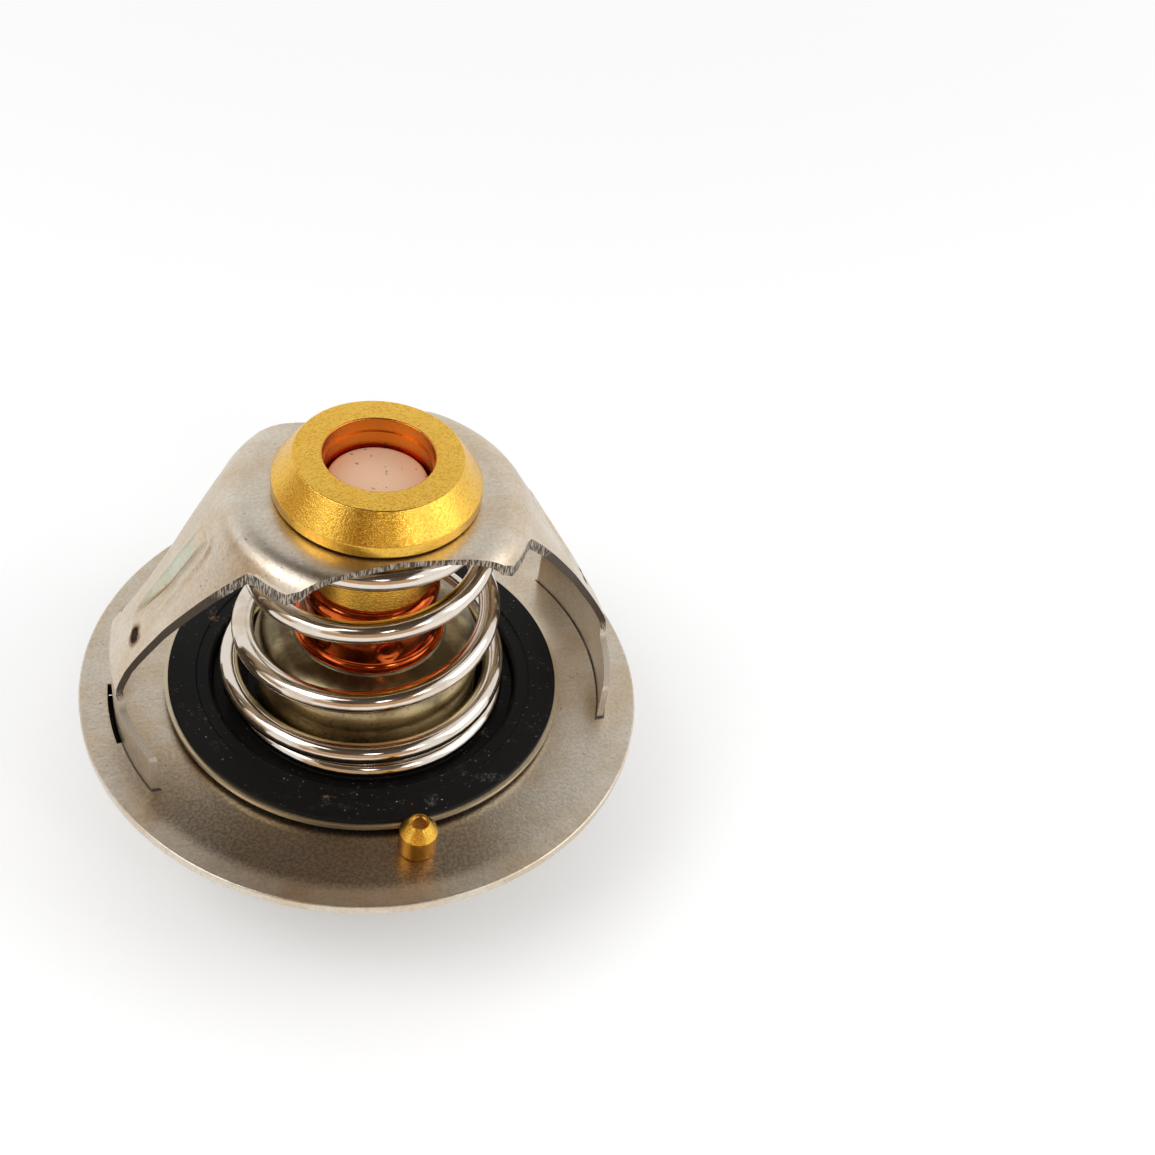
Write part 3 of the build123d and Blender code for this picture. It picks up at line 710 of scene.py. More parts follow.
def round_both(rear, front):
    """The whole outline from two of its quarters, which each run from the X axis to the Y axis."""
    halves = [quarter + [(-x, y, r) for x, y, r in reversed(quarter[:-1])]
              for quarter in (rear, front)]
    return halves[0] + [(x, -y, r) for x, y, r in reversed(halves[1][1:-1])]


def divided(corners, pitch):
    """Rounded corners turned into plain ones, with extra points along every long straight."""
    points = rounded(corners)
    out = [(points[0].x, points[0].y, 0)]
    for a, b in zip(points, points[1:]):
        parts = max(1, math.ceil((b - a).length / pitch))
        for k in range(1, parts + 1):
            p = a.lerp(b, k / parts)
            out.append((p.x, p.y, 0))
    return out


class Piece:
    """What every modelling operator shares."""

    bl_options = {"REGISTER", "UNDO"}

    @property
    def sizes(self):
        """The sizes that the panel shows."""
        return bpy.context.scene.thermostat_sizes


# ---------------------------------------------------------------- flange and bridges

SLOT_HALF_ANGLE = 8.9     # degrees
TAB_HALF_ANGLE = 8.8
SLOT_GAPS = (0.04, 0.8)   # inside and outside a foot
COLLAR_END = -3.4         # lower edge of the collar round the opening
RIM_R = 39.4              # from here the flange rises slightly to its rim
RIM_RISE = 0.2
VENT_R = 1.9
TURNED_STEPS = 240        # faces round a large turned piece


def slot_cutter(sizes, side):
    """The curved slot that a foot's tab goes through, on one side of the valve."""
    half = math.radians(SLOT_HALF_ANGLE)
    inner = sizes.foot_r - sizes.sheet - SLOT_GAPS[0]
    outer = sizes.foot_r + SLOT_GAPS[1]
    return lathe("slot_cutter", [(inner, -5, 0), (outer, -5, 0), (outer, 1, 0), (inner, 1, 0)],
                 steps=24, start=side - half, sweep=2 * half)


class THERMOSTAT_OT_flange(Piece, bpy.types.Operator):
    """Models the flat flange with its seat collar, slots and vent hole"""

    bl_idname = "thermostat.flange"
    bl_label = "Flange"

    def execute(self, context):
        s = self.sizes
        under = -s.flange_t
        collar_r = s.opening_r + s.flange_t
        flange = lathe("flange_plate", [
            (s.opening_r, COLLAR_END, 0), (s.opening_r, 0, 0.9), (RIM_R, 0, 30),
            (s.flange_r, RIM_RISE, 0.3), (s.flange_r, under, 0.3), (collar_r, under, 0.7),
            (collar_r, COLLAR_END, 0)], steps=TURNED_STEPS)
        for side in (0.0, math.pi):
            carve(flange, slot_cutter(s, side), "DIFFERENCE")
        vent = lathe("vent_cutter", [(0, -3, 0), (VENT_R, -3, 0), (VENT_R, 1, 0), (0, 1, 0)],
                     steps=32, centre=VENT_PLACE)
        carve(flange, vent, "DIFFERENCE")
        soften(flange, 0.1)
        dress(flange, "frame", "plated_steel", "flange")
        return {"FINISHED"}


LEG_SLOPE = math.radians(59.5)
UPPER_BEND_R = 20.65      # where the plate's plane meets the slope
UPPER_BEND = 4.5          # bend radii on the outer face
LOWER_BEND = 4.0
CLINCH_REACH = 2.4        # how far a clinched tab turns outwards
FOOT_HALF_ANGLE = 24.3    # degrees
FOOT_TOP = 12.5           # where a foot's outline meets its leg's
DRAIN_HOLE_R = 1.2
BOWL_STEPS = 600          # fine enough for the pressed grooves
BOWL_PITCH = 0.7
GROOVE_START, GROOVE_END = 8.2, 24.0   # how far down a leg its stiffening groove runs
GROOVE_RUN_OUT = 24.5     # height from which it grows shallow towards the drain hole
GROOVE_FLOOR, GROOVE_WALL, GROOVE_DEPTH = 1.4, 0.9, 1.1
LIP_AT, LIP_HALF, LIP_H = 2.7, 0.9, 0.22   # the soft lip that the pressing raises round it


class THERMOSTAT_OT_spring_bridge(Piece, bpy.types.Operator):
    """Models the spring bridge: a drawn bowl cut to two grooved legs with clinched feet"""

    bl_idname = "thermostat.spring_bridge"
    bl_label = "Spring bridge"

    def section(self):
        """The bowl's closed section: from the guide hole down to the tabs, and back inside."""
        s = self.sizes
        t = s.sheet
        shift = t / math.sin(LEG_SLOPE)
        inner_upper = UPPER_BEND_R - shift + t / math.tan(LEG_SLOPE)
        lower = s.plate_z - (s.foot_r - UPPER_BEND_R) * math.tan(LEG_SLOPE)
        inner_foot = s.foot_r - t
        inner_lower = s.plate_z - (inner_foot - UPPER_BEND_R + shift) * math.tan(LEG_SLOPE)
        clinch = -s.flange_t - t
        clinch_r = s.foot_r + CLINCH_REACH
        return [
            (s.guide_r, s.plate_z, 0), (UPPER_BEND_R, s.plate_z, UPPER_BEND),
            (s.foot_r, lower, LOWER_BEND), (s.foot_r, clinch, 0.3),
            (clinch_r, clinch, 0), (clinch_r, clinch - t, 0), (inner_foot, clinch - t, 1.2),
            (inner_foot, inner_lower, LOWER_BEND - t),
            (inner_upper, s.plate_z - t, UPPER_BEND - t), (s.guide_r, s.plate_z - t, 0)]

    def groove_reach(self, x, y, z):
        """How far a point of a leg lies from its groove's middle; it is the same on both skins."""
        across = math.hypot(x, y) - UPPER_BEND_R
        down = across * math.cos(LEG_SLOPE) + (self.sizes.plate_z - z) * math.sin(LEG_SLOPE)
        beside = y - groove_line(UPPER_BEND_R + down * math.cos(LEG_SLOPE))
        return math.hypot(down - min(max(down, GROOVE_START), GROOVE_END), beside)

    def groove_share(self, x, y, z):
        """How far a point is pressed in, from 0 to 1."""
        run_out = 1 - ease((GROOVE_RUN_OUT - z) / (GROOVE_RUN_OUT - DRAIN_Z))
        wall = (GROOVE_FLOOR + GROOVE_WALL - self.groove_reach(x, y, z)) / GROOVE_WALL
        return run_out * ease(wall)

    def lip_share(self, x, y, z):
        """How far a point is raised beside the groove, from 0 to 1."""
        return ease(1 - abs(self.groove_reach(x, y, z) - LIP_AT) / LIP_HALF)

    def outline(self):
        """The plate and its two legs, seen from above."""
        s = self.sizes
        leg_end = s.foot_r + 4
        rim = [(s.plate_r * math.cos(math.radians(a)), s.plate_r * math.sin(math.radians(a)), 0)
               for a in (31, 36, 41)]
        chord = rim + [(15.7, 15.8, 0.5), (13.9, 16.5, 1.5), (10.8, 16.4, 5), (0, 15.05, 20)]
        front = [(leg_end, 0, 0), (leg_end, 3.4, 0), (35.0, 3.4, 8), (30.6, 4.9, 5),
                 (19.9, 10.5, 0.8)]
        rear = [(leg_end, 0, 0), (leg_end, 8.9, 0), (35.5, 8.6, 8), (31.5, 7.4, 8),
                (27.4, 7.7, 6), (19.9, 10.5, 0.8)]
        return round_both(rear + chord, front + chord)

    def skirt(self):
        """The feet and their tabs, seen along the legs."""
        s = self.sizes
        foot_half = s.foot_r * math.sin(math.radians(FOOT_HALF_ANGLE))
        tab_half = s.foot_r * math.sin(math.radians(TAB_HALF_ANGLE))
        foot = [(foot_half, s.foot_h, 0.7), (foot_half, 0, 0.4), (tab_half, 0, 0),
                (tab_half, -5, 0)]
        rear = [(8.9, FOOT_TOP, 0), (10.2, s.foot_h, 1.9)] + foot
        front = [(3.4, FOOT_TOP, 0), (4.7, s.foot_h, 1.9)] + foot
        return rear + [(-y, z, r) for y, z, r in reversed(front)]

    def drill(self, cutter):
        """Takes the drain holes, square to the slope, out of the cutter."""
        for side in (1, -1):
            bpy.ops.object.select_all(action="DESELECT")
            bpy.ops.mesh.primitive_cylinder_add(
                vertices=32, radius=DRAIN_HOLE_R * MM, depth=8 * MM,
                location=(side * DRAIN_R * MM, 0, DRAIN_Z * MM),
                rotation=(0, side * LEG_SLOPE, 0))
            drain = bpy.context.active_object
            bpy.ops.object.transform_apply(location=True, rotation=True, scale=True)
            carve(cutter, drain, "DIFFERENCE")

    def execute(self, context):
        s = self.sizes
        bridge = lathe("spring_bridge_sheet", divided(self.section(), BOWL_PITCH), steps=BOWL_STEPS)
        press(bridge, -GROOVE_DEPTH, self.groove_share)
        press(bridge, LIP_H, self.lip_share)
        cutter = prism("outline_cutter", self.outline(), FOOT_TOP - 1, s.plate_z + 3)
        skirt = prism("foot_cutter", self.skirt(), -s.foot_r - 4, s.foot_r + 4, face="YZ")
        carve(cutter, skirt, "UNION")
        self.drill(cutter)
        bridge.data.materials.append(finish_for("plated_steel"))
        carve(bridge, sheared(cutter), "INTERSECT")
        close_up(bridge)
        soften(bridge, 0.14)
        dress(bridge, "frame", "plated_steel", "spring_bridge")
        return {"FINISHED"}


HUB_Z = -18.5             # upper face of the strap's hub
HUB_R = 9.5
CUP_Z = -21.5             # bottom of the cup that holds the piston's tip
CUP_R = 3.3
ARM_TOP_R = 33.0          # where the arms reach the flange's underside
STRAP_REACH = 41.5


class THERMOSTAT_OT_piston_bridge(Piece, bpy.types.Operator):
    """Models the strap under the flange that holds the piston's tip"""

    bl_idname = "thermostat.piston_bridge"
    bl_label = "Piston bridge"

    def execute(self, context):
        s = self.sizes
        t = s.sheet
        top = -s.flange_t
        upper = [(0, CUP_Z, 0), (CUP_R, CUP_Z, 0.6), (CUP_R, HUB_Z, 1.6), (HUB_R, HUB_Z, 4.0),
                 (ARM_TOP_R, top, 1.6), (STRAP_REACH, top, 0)]
        lower = [(STRAP_REACH, top - t, 0), (ARM_TOP_R + 0.5, top - t, 0.6),
                 (HUB_R + 0.5, HUB_Z - t, 5.2), (CUP_R + t, HUB_Z - t, 0.5),
                 (CUP_R + t, CUP_Z - t, 1.5), (0, CUP_Z - t, 0)]
        strap = lathe("piston_bridge_strap", upper + lower, steps=TURNED_STEPS)
        quarter = [(43, 0, 0), (43, 10, 0), (33.5, 10, 2.5), (25, 6.5, 4), (10.2, 6.5, 1.5),
                   (7.6, 7.6, 4), (0, 11.4, 3)]
        cutter = prism("strap_cutter", round_both(quarter, quarter), -26, 0)
        strap.data.materials.append(finish_for("plated_steel"))
        carve(strap, sheared(cutter), "INTERSECT")
        for side in (0.0, math.pi):
            carve(strap, slot_cutter(s, side), "DIFFERENCE")
        close_up(strap)
        soften(strap, 0.14)
        dress(strap, "frame", "plated_steel", "piston_bridge")
        return {"FINISHED"}


# ---------------------------------------------------------------- valve

DISC_T = 0.9              # sheet of the valve disc
POCKET_R = 24.4           # the disc's pocket for the spring
POCKET_Z = -1.1
RIM_Z = 1.7               # upper face of the disc's rim
RUBBER_R = 29.9
RUBBER_TOP_Z = 2.2
RUBBER_STEP_Z = 1.95      # its lower face inside the step
RUBBER_UNDER_Z = -1.08    # where it lies on the floor of the disc's pocket
SPRING_SEAT_Z = -0.1      # rubber under the lowest coil
SEAL_R = 26.2             # inner edge of the seal under the rim
SEAL_Z = 0.05             # its face on the flange


class THERMOSTAT_OT_valve_disc(Piece, bpy.types.Operator):
    """Models the drawn valve disc and its moulded rubber"""

    bl_idname = "thermostat.valve_disc"
    bl_label = "Valve disc and rubber"

    def execute(self, context):
        s = self.sizes
        t = DISC_T
        upper = [(s.disc_r, RIM_Z, 0.25), (POCKET_R, RIM_Z, 1.2), (POCKET_R, POCKET_Z, 0.5),
                 (s.dome_r, POCKET_Z, 1.0), (s.dome_r, 12.3, 4.4)]
        neck = [(11.75, 12.95, 0.3), (11.6, 13.25, 0.06), (11.47, 13.25, 0), (11.47, 13.06, 0),
                (10.65, 13.06, 0)]
        lower = [(11.55 - t, s.dome_z - t, 1.8), (s.dome_r - t, s.dome_z - t, 3.7),
                 (s.dome_r - t, POCKET_Z - t, 1.9), (POCKET_R + t, POCKET_Z - t, 1.4),
                 (POCKET_R + t, RIM_Z - t, 0.3), (s.disc_r, RIM_Z - t, 0.25), (s.disc_r, 1.25, 0)]
        disc = lathe("valve_disc_sheet", upper + neck + lower, steps=TURNED_STEPS)
        dress(disc, "valve", "valve_steel", "valve_disc")
        top = lathe("valve_rubber_top", [
            (RUBBER_R, RIM_Z + 0.02, 0), (RUBBER_R, RUBBER_TOP_Z, 0.2), (25.8, RUBBER_TOP_Z, 0.12),
            (25.62, RUBBER_STEP_Z, 0.12), (23.9, RUBBER_STEP_Z, 0.4), (23.4, 1.5, 0.3),
            (23.3, SPRING_SEAT_Z, 0.4), (s.dome_r + 0.8, SPRING_SEAT_Z, 0.3),
            (s.dome_r + 0.02, 0.5, 0), (s.dome_r + 0.02, -0.7, 0),
            (s.dome_r + 1.0, RUBBER_UNDER_Z, 0), (23.9, RUBBER_UNDER_Z, 0),
            (POCKET_R - 0.02, -0.6, 0), (POCKET_R - 0.02, 0.5, 0), (25.4, RIM_Z + 0.02, 0)],
            steps=TURNED_STEPS)
        dress(top, "valve", "rubber", "valve_rubber")
        seal = lathe("valve_rubber_seal", [
            (SEAL_R, 0.78, 0), (SEAL_R, SEAL_Z, 0.2), (RUBBER_R, SEAL_Z, 0.25),
            (RUBBER_R, 0.78, 0)], steps=TURNED_STEPS)
        dress(seal, "valve", "rubber")
        return {"FINISHED"}


CAPSULE_WALL = 0.8
SHOULDER_Z = 23.65        # shoulder of the capsule's drum, under the bypass ring's sleeve
FLARE_R, FLARE_Z = 11.45, 13.3    # the flare that rests on the dome's neck
CLAMP_R = 12.05           # the capsule's flange, held in the guide's crimp
CLAMP_TOP_Z = 10.85
GUIDE_BORE_R = 3.05
GUIDE_NECK_R = 6.5
GUIDE_NOSE_Z = -7.0
GUIDE_FLANGE_R = 13.0
GUIDE_FLANGE_Z = 7.4      # its underside, which the retainer carries
UNDER_DOME_Z = 11.7
CRIMP_R = 11.2
BOOT_SEAT_Z = 9.0
WASHER_R, WASHER_SEAT_Z = 5.7, 8.0
WIPER_R, WIPER_SEAT_Z = 5.2, -4.3
RETAINER_T = 0.9
RETAINER_SKIRT = 3.6
PISTON_R = 3.0
PISTON_TOP_Z = 27.0
DIMPLE_START, DIMPLE_PITCH = -87.0, 60.0      # degrees
DIMPLE_Z, DIMPLE_R = 16.3, 2.1
DIMPLE_WALL, DIMPLE_DEPTH = 0.8, 0.4
CAPSULE_PITCH = 0.4       # fine enough for the dimples
INNER_PARTS = {           # construction nodes that are only given a finish
    "wax_charge": "wax",
    "rubber_boot": "rubber",
    "backup_washer": "washer_plastic",
    "piston_wiper": "rubber",
    "wiper_washer": "rod_steel",
}


class THERMOSTAT_OT_wax_element(Piece, bpy.types.Operator):
    """Models the wax element's capsule, guide, retainer and piston, and finishes its inner parts"""

    bl_idname = "thermostat.wax_element"
    bl_label = "Wax element"

    def dimple_share(self, x, y, z):
        """How far a point of the drum is pressed in, from 0 to 1."""
        turn = (math.degrees(math.atan2(y, x)) - DIMPLE_START) % DIMPLE_PITCH
        across = math.radians(min(turn, DIMPLE_PITCH - turn)) * self.sizes.drum_r
        if math.hypot(x, y) < self.sizes.capsule_r + 1:
            return 0
        return ease((DIMPLE_R - math.hypot(across, z - DIMPLE_Z)) / DIMPLE_WALL)

    def execute(self, context):
        s = self.sizes
        wall = CAPSULE_WALL
        clamp_z = CLAMP_TOP_Z - wall
        capsule = lathe("element_capsule_shell", divided([
            (0, s.capsule_z, 0), (s.capsule_r, s.capsule_z, 1.0), (s.capsule_r, SHOULDER_Z, 0.3),
            (s.drum_r, SHOULDER_Z, 2.1), (s.drum_r, FLARE_Z, 1.0), (FLARE_R, FLARE_Z, 0.1),
            (FLARE_R, FLARE_Z - 0.2, 0.1), (s.drum_r, FLARE_Z - 0.2, 0),
            (s.drum_r, CLAMP_TOP_Z, 0.4), (CLAMP_R, CLAMP_TOP_Z, 0), (CLAMP_R, clamp_z, 0),
            (s.drum_r - wall, clamp_z, 0), (s.drum_r - wall, SHOULDER_Z - wall, 1.2),
            (s.capsule_r - wall, SHOULDER_Z - wall, 0), (s.capsule_r - wall, s.capsule_z - wall, 0),
            (0, s.capsule_z - wall, 0)], CAPSULE_PITCH), steps=TURNED_STEPS)
        press(capsule, -DIMPLE_DEPTH, self.dimple_share)
        dress(capsule, "valve", "copper", "element_capsule")
        groove_r, groove_z = CLAMP_R + 0.03, CLAMP_TOP_Z + 0.02
        guide = lathe("piston_guide_body", [
            (GUIDE_BORE_R, WIPER_SEAT_Z, 0), (WIPER_R, WIPER_SEAT_Z, 0),
            (WIPER_R, GUIDE_NOSE_Z, 0), (GUIDE_NECK_R, GUIDE_NOSE_Z, 0.6),
            (GUIDE_NECK_R, GUIDE_FLANGE_Z, 0.4), (GUIDE_FLANGE_R, GUIDE_FLANGE_Z, 0.3),
            (GUIDE_FLANGE_R, UNDER_DOME_Z, 0.8), (CRIMP_R, UNDER_DOME_Z, 0.2),
            (CRIMP_R, groove_z, 0), (groove_r, groove_z, 0), (groove_r, BOOT_SEAT_Z, 0),
            (WASHER_R, BOOT_SEAT_Z, 0), (WASHER_R, WASHER_SEAT_Z, 0),
            (GUIDE_BORE_R, WASHER_SEAT_Z, 0)], steps=160)
        dress(guide, "valve", "brass", "piston_guide")
        outer = s.dome_r - DISC_T
        inner = GUIDE_NECK_R + 0.3
        under = GUIDE_FLANGE_Z - RETAINER_T
        skirt = GUIDE_FLANGE_Z - RETAINER_SKIRT
        keeper = lathe("element_retainer_ring", [
            (inner, under, 0.15), (inner, GUIDE_FLANGE_Z, 0.15), (outer, GUIDE_FLANGE_Z, 0.5),
            (outer, skirt, 0.15), (outer - RETAINER_T, skirt, 0.15),
            (outer - RETAINER_T, under, 0.6)], steps=160)
        dress(keeper, "valve", "valve_steel", "element_retainer")
        rod = lathe("piston_rod", [
            (0, CUP_Z, 0), (PISTON_R, CUP_Z, 0.8), (PISTON_R, PISTON_TOP_Z, 1.0),
            (0, PISTON_TOP_Z, 0)], steps=96)
        dress(rod, "frame", "rod_steel", "piston")
        for node, slot in INNER_PARTS.items():
            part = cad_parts[node]
            part.data.materials.clear()
            part.data.materials.append(finish_for(slot))
        return {"FINISHED"}


SLEEVE_R = 9.25           # the ring's sleeve on the capsule
SLEEVE_BORE_R = 7.52
RING_BOTTOM_Z = 39.4
BEVEL_Z = 41.35           # where the bevel starts at the rim
RING_TOP_R = 11.83        # and where it ends at the top face
MOUTH_R, MOUTH_Z = 7.75, 43.2


class THERMOSTAT_OT_bypass_ring(Piece, bpy.types.Operator):
    """Models the turned bypass ring and its sleeve"""

    bl_idname = "thermostat.bypass_ring"
    bl_label = "Bypass ring"

    def execute(self, context):
        s = self.sizes
        ring = lathe("bypass_ring_body", [
            (SLEEVE_BORE_R, SHOULDER_Z + 0.01, 0), (SLEEVE_R, SHOULDER_Z + 0.01, 0.3),
            (SLEEVE_R, RING_BOTTOM_Z, 0), (s.ring_r, RING_BOTTOM_Z, 0.35),
            (s.ring_r, BEVEL_Z, 0.5), (RING_TOP_R, s.ring_z, 0.25), (MOUTH_R, s.ring_z, 0.25),
            (MOUTH_R, MOUTH_Z, 0), (SLEEVE_BORE_R, MOUTH_Z, 0)], steps=200)
        dress(ring, "valve", "brass", "bypass_ring")
        return {"FINISHED"}


# ---------------------------------------------------------------- spring and jiggle pin

COIL_LAW = [              # turn, radius of the coil, height
    (0.0, 20.4, 1.6), (0.4, 20.4, 1.6), (0.6, 20.6, 2.1), (1.0, 21.3, 4.8), (1.5, 20.0, 6.6),
    (2.0, 19.2, 12.2), (2.5, 18.3, 18.2), (3.0, 17.5, 24.6), (3.5, 16.6, 31.0), (4.0, 15.7, 35.2),
    (4.25, 15.4, 36.0), (4.5, 15.4, 36.2),
]
POINTS_PER_TURN = 16


class THERMOSTAT_OT_main_spring(Piece, bpy.types.Operator):
    """Models the conical spring as a wound wire that runs from the valve to the bridge"""

    bl_idname = "thermostat.main_spring"
    bl_label = "Main spring"

    def execute(self, context):
        s = self.sizes
        points = []
        for i in range(round(COIL_LAW[-1][0] * POINTS_PER_TURN) + 1):
            turn = i / POINTS_PER_TURN
            row = sum(law[0] <= turn for law in COIL_LAW[1:-1])
            (t0, r0, z0), (t1, r1, z1) = COIL_LAW[row:row + 2]
            share = (turn - t0) / (t1 - t0)
            angle = math.pi + FULL_TURN * turn
            radius = r0 + share * (r1 - r0)
            height = z0 + share * (z1 - z0)
            points.append((radius * math.cos(angle), radius * math.sin(angle), height))
        bpy.ops.object.select_all(action="DESELECT")
        bpy.ops.curve.primitive_nurbs_path_add(location=(0, 0, 0))
        spring = bpy.context.active_object
        spring.name = "main_spring_wire"
        line = spring.data.splines
        line.remove(line[0])
        wire = line.new("NURBS")
        wire.points.add(len(points) - 1)
        for point, place in zip(wire.points, points):
            point.co = (*(c * MM for c in place), 1.0)
        wire.order_u = 4
        wire.use_endpoint_u = True
        wire.resolution_u = 4
        spring.data.bevel_depth = s.wire_r * MM
        spring.data.bevel_resolution = 10
        spring.data.use_fill_caps = True
        only(spring)
        bpy.ops.object.convert(target="MESH")
        spring = bpy.context.active_object
        close_up(spring, angle=50)
        soften(spring, 0.25)
        spring.data.materials.clear()
        spring.data.materials.append(finish_for("spring_steel"))
        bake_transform(spring)
        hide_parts("main_spring")
        return {"FINISHED"}


PIN_STEM_R = 1.5
PIN_FOOT_R = 2.4          # the upset foot under the flange
PIN_FOOT_Z = -3.05        # its upper face, with the pin resting on the flange
PIN_FOOT_H = 1.0
PIN_CONE_Z = 3.9          # where the head's cone starts


class THERMOSTAT_OT_jiggle_pin(Piece, bpy.types.Operator):
    """Models the loose pin in the flange's vent hole"""

    bl_idname = "thermostat.jiggle_pin"
    bl_label = "Jiggle pin"

    def execute(self, context):
        s = self.sizes
        pin = lathe("jiggle_pin_body", [
            (0, PIN_FOOT_Z - PIN_FOOT_H, 0), (PIN_FOOT_R, PIN_FOOT_Z - PIN_FOOT_H, 0.35),
            (PIN_FOOT_R, PIN_FOOT_Z, 0.15), (PIN_STEM_R, PIN_FOOT_Z, 0.2), (PIN_STEM_R, 0, 0),
            (s.pin_r, 0, 0.3), (s.pin_r, PIN_CONE_Z, 0.1), (1.45, 5.75, 0.06),
            (1.15, 5.7, 0.05), (0.95, 5.5, 0.1), (0, 5.45, 0)], steps=72, centre=VENT_PLACE)
        dress(pin, "jiggle_pin", "brass", "jiggle_pin")
        return {"FINISHED"}


# ---------------------------------------------------------------- stage

FLOOR_SIZE = 6.0          # metres
FLOOR_GAP = 0.0002        # how far the floor lies under the part, in metres
CAMERA_PLACE = Vector((-44.36, -158.87, 181.88)) * MM
CAMERA_RIGHT = Vector((0.939214, -0.314009, 0.138833))
CAMERA_UP = Vector((0.123915, 0.687147, 0.715873))
LENS = 48.10
AMBIENT = 0.66            # strength of the white surroundings on matt surfaces
FLOOR_LIFT = 0.16         # lifts the floor to white where it is seen, over its own shadows
FLOOR_LIFT_FAR = 0.22     # and what the far floor, out of the lamps' reach, needs on top
AIM = (0, 0, 15)
LAMPS = (                 # name, place, aim, size in millimetres, watts
    ("key", (-330, -60, 400), AIM, 300, 0.70),
    ("fill", (380, -160, 260), AIM, 300, 0.42),
    ("spark_right", (130, -300, 205), AIM, 55, 0.07),
    ("spark_left", (-38, -290, 255), AIM, 45, 0.045),
)
CARDS = (                 # name, place, aim, width, height, radiance
    ("ceiling_card", (-180, -12, 600), (-180, -12, 0), 840, 875, (0.075, 0.055, 0.038)),
    ("camera_card", (-80, -290, 310), AIM, 420, 260, (0.10, 0.075, 0.055)),
    ("front_card", (-115, -400, 115), AIM, 700, 270, (0.62, 0.41, 0.24)),
    ("left_card", (-490, 104, 90), AIM, 420, 200, (0.50, 0.34, 0.19)),
)


def lamp(name, place, aim, size, power):
    """A soft square lamp that points at a place; all in millimetres and watts."""
    light = bpy.data.lights.new(name, "AREA")
    light.size = size * MM
    light.energy = power
    obj = bpy.data.objects.new(name, light)
    obj.location = Vector(place) * MM
    obj.rotation_euler = (Vector(aim) - Vector(place)).to_track_quat("-Z", "Y").to_euler()
    obj.visible_camera = False
    bpy.context.collection.objects.link(obj)


def card(name, place, aim, width, height, shade):
    """A dim flat card that only reflections see; all in millimetres."""
    bpy.ops.object.select_all(action="DESELECT")
    bpy.ops.mesh.primitive_plane_add(size=MM)
    obj = bpy.context.active_object
    obj.name = name
    obj.scale = (width, height, 1)
    obj.location = Vector(place) * MM
    obj.rotation_euler = (Vector(aim) - Vector(place)).to_track_quat("-Z", "Y").to_euler()
    bpy.ops.object.transform_apply(location=True, rotation=True, scale=True)
    paint = Finish(name, Roughness=1.0, Specular_IOR_Level=0.0)
    paint.shader.inputs["Base Color"].default_value = (0, 0, 0, 1)
    paint.shader.inputs["Emission Color"].default_value = (*shade, 1)
    paint.shader.inputs["Emission Strength"].default_value = 1.0
    obj.data.materials.append(paint.material)
    obj.visible_camera = False
    obj.visible_diffuse = False
    obj.visible_shadow = False
    obj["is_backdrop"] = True


def background_rays(graph):
    """1 for what the camera, mirrors and glass see, and 0 for the light on matt surfaces."""
    path = graph.node("ShaderNodeLightPath").outputs
    camera, glossy, through = (
        graph.value(path[f"Is {kind} Ray"]) for kind in ("Camera", "Glossy", "Transmission"))
    return camera | glossy | through


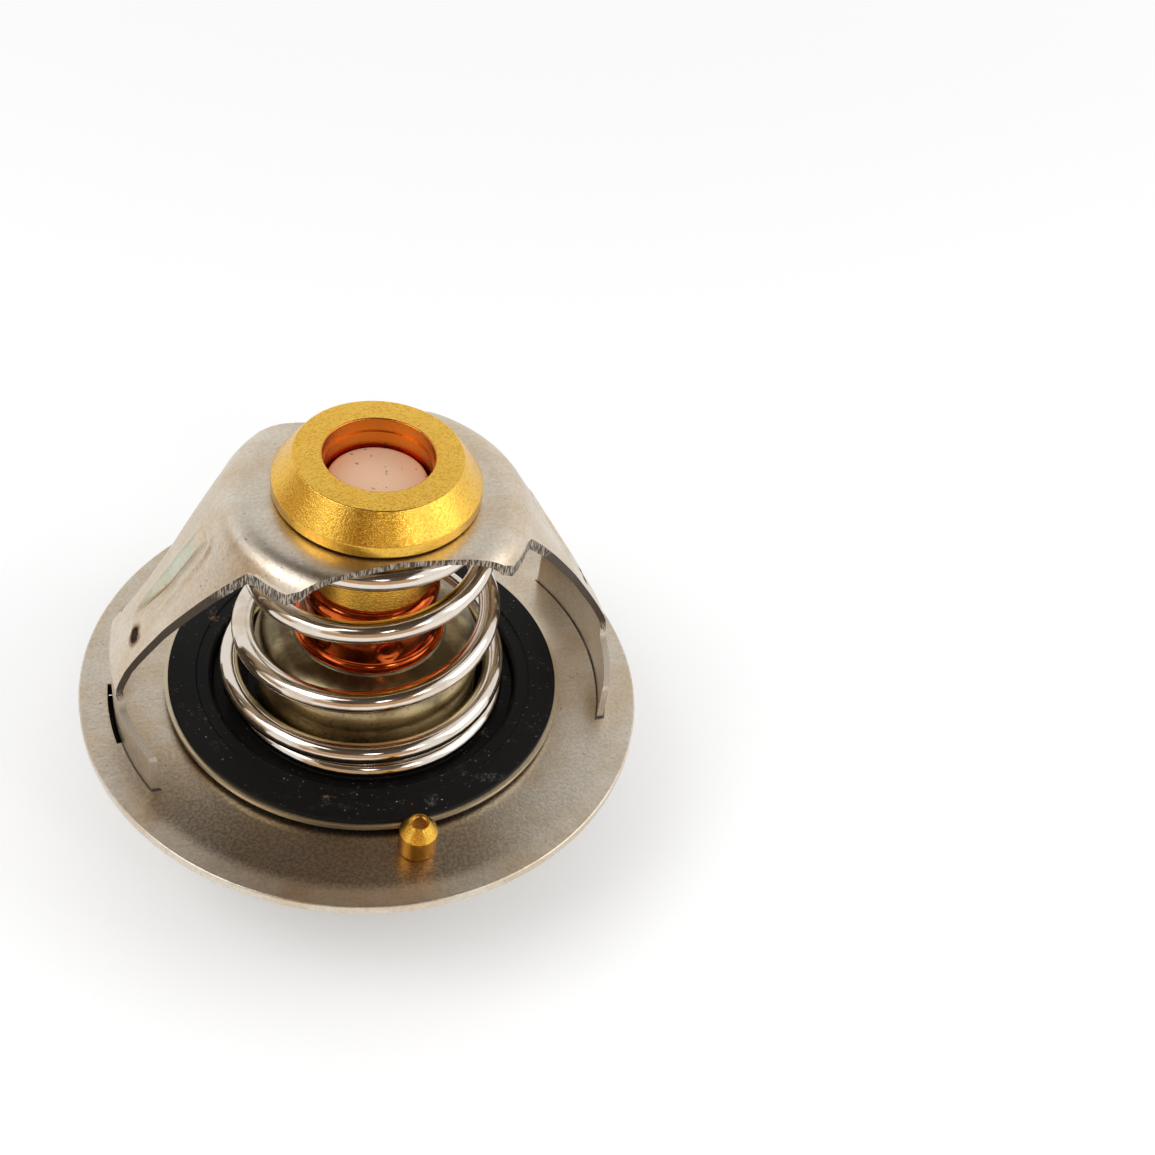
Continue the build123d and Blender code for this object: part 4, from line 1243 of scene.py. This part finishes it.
class THERMOSTAT_OT_stage(Piece, bpy.types.Operator):
    """Sets the floor, the lamps, the surroundings and the camera"""

    bl_idname = "thermostat.stage"
    bl_label = "Stage"

    def execute(self, context):
        colours = context.scene.thermostat_colours
        bpy.ops.object.select_all(action="DESELECT")
        bpy.ops.mesh.primitive_plane_add(
            size=FLOOR_SIZE, location=(0, 0, CAD_LOW[2] - FLOOR_GAP))
        floor = context.active_object
        floor.name = "floor"
        paint = Finish("floor", Roughness=0.9)
        paint.shader.inputs["Base Color"].default_value = (*colours.floor, 1.0)
        paint.shader.inputs["Specular IOR Level"].default_value = 0.0
        far = paint.radius().above(500.0, 400.0)
        lift = background_rays(paint) * (FLOOR_LIFT + far * FLOOR_LIFT_FAR)
        glow = paint.mix(lift, (0, 0, 0), (1, 1, 1))
        paint.tree.links.new(glow, paint.shader.inputs["Emission Color"])
        paint.shader.inputs["Emission Strength"].default_value = 1.0
        floor.data.materials.append(paint.material)
        floor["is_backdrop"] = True

        world = bpy.data.worlds.new("studio")
        context.scene.world = world
        world.use_nodes = True
        room = Graph(world.node_tree)
        seen = background_rays(room)
        back = room.tree.nodes["Background"]
        strength = AMBIENT + seen * (1 - AMBIENT)
        world.node_tree.links.new(strength.socket, back.inputs["Strength"])
        back.inputs["Color"].default_value = (1, 1, 1, 1)

        for row in LAMPS:
            lamp(*row)
        for row in CARDS:
            card(*row)

        eye = bpy.data.cameras.new("camera")
        eye.sensor_width = 36.0
        eye.lens = LENS
        eye.clip_start = 0.001
        camera = bpy.data.objects.new("camera", eye)
        right = CAMERA_RIGHT.normalized()
        up = (CAMERA_UP - right * CAMERA_UP.dot(right)).normalized()
        back_axis = right.cross(up)
        turn = Matrix((right, up, back_axis)).transposed()
        camera.matrix_world = Matrix.Translation(CAMERA_PLACE) @ turn.to_4x4()
        context.collection.objects.link(camera)
        context.scene.camera = camera
        context.scene.view_settings.view_transform = "Standard"
        return {"FINISHED"}


# ---------------------------------------------------------------- panel and run

OPERATORS = (
    THERMOSTAT_OT_flange,
    THERMOSTAT_OT_spring_bridge,
    THERMOSTAT_OT_piston_bridge,
    THERMOSTAT_OT_valve_disc,
    THERMOSTAT_OT_wax_element,
    THERMOSTAT_OT_bypass_ring,
    THERMOSTAT_OT_main_spring,
    THERMOSTAT_OT_jiggle_pin,
    THERMOSTAT_OT_stage,
)


class THERMOSTAT_PT_panel(bpy.types.Panel):
    """Lists the pieces, sizes and colours of the thermostat"""

    bl_idname = "THERMOSTAT_PT_panel"
    bl_label = "Engine thermostat"
    bl_space_type = "VIEW_3D"
    bl_region_type = "UI"
    bl_category = "Thermostat"

    def draw(self, context):
        for operator in OPERATORS:
            self.layout.operator(operator.bl_idname)
        for group in (context.scene.thermostat_sizes, context.scene.thermostat_colours):
            box = self.layout.box()
            for name in group.bl_rna.properties.keys():
                if name not in ("rna_type", "name"):
                    box.prop(group, name)


CLASSES = (ThermostatSizes, ThermostatColours, *OPERATORS, THERMOSTAT_PT_panel)


def register():
    for cls in CLASSES:
        bpy.utils.register_class(cls)
    bpy.types.Scene.thermostat_sizes = bpy.props.PointerProperty(type=ThermostatSizes)
    bpy.types.Scene.thermostat_colours = bpy.props.PointerProperty(type=ThermostatColours)


def unregister():
    del bpy.types.Scene.thermostat_colours
    del bpy.types.Scene.thermostat_sizes
    for cls in reversed(CLASSES):
        bpy.utils.unregister_class(cls)


def main():
    register()
    for operator in OPERATORS:
        group, name = operator.bl_idname.split(".")
        getattr(getattr(bpy.ops, group), name)()


if __name__ == "__main__":
    main()
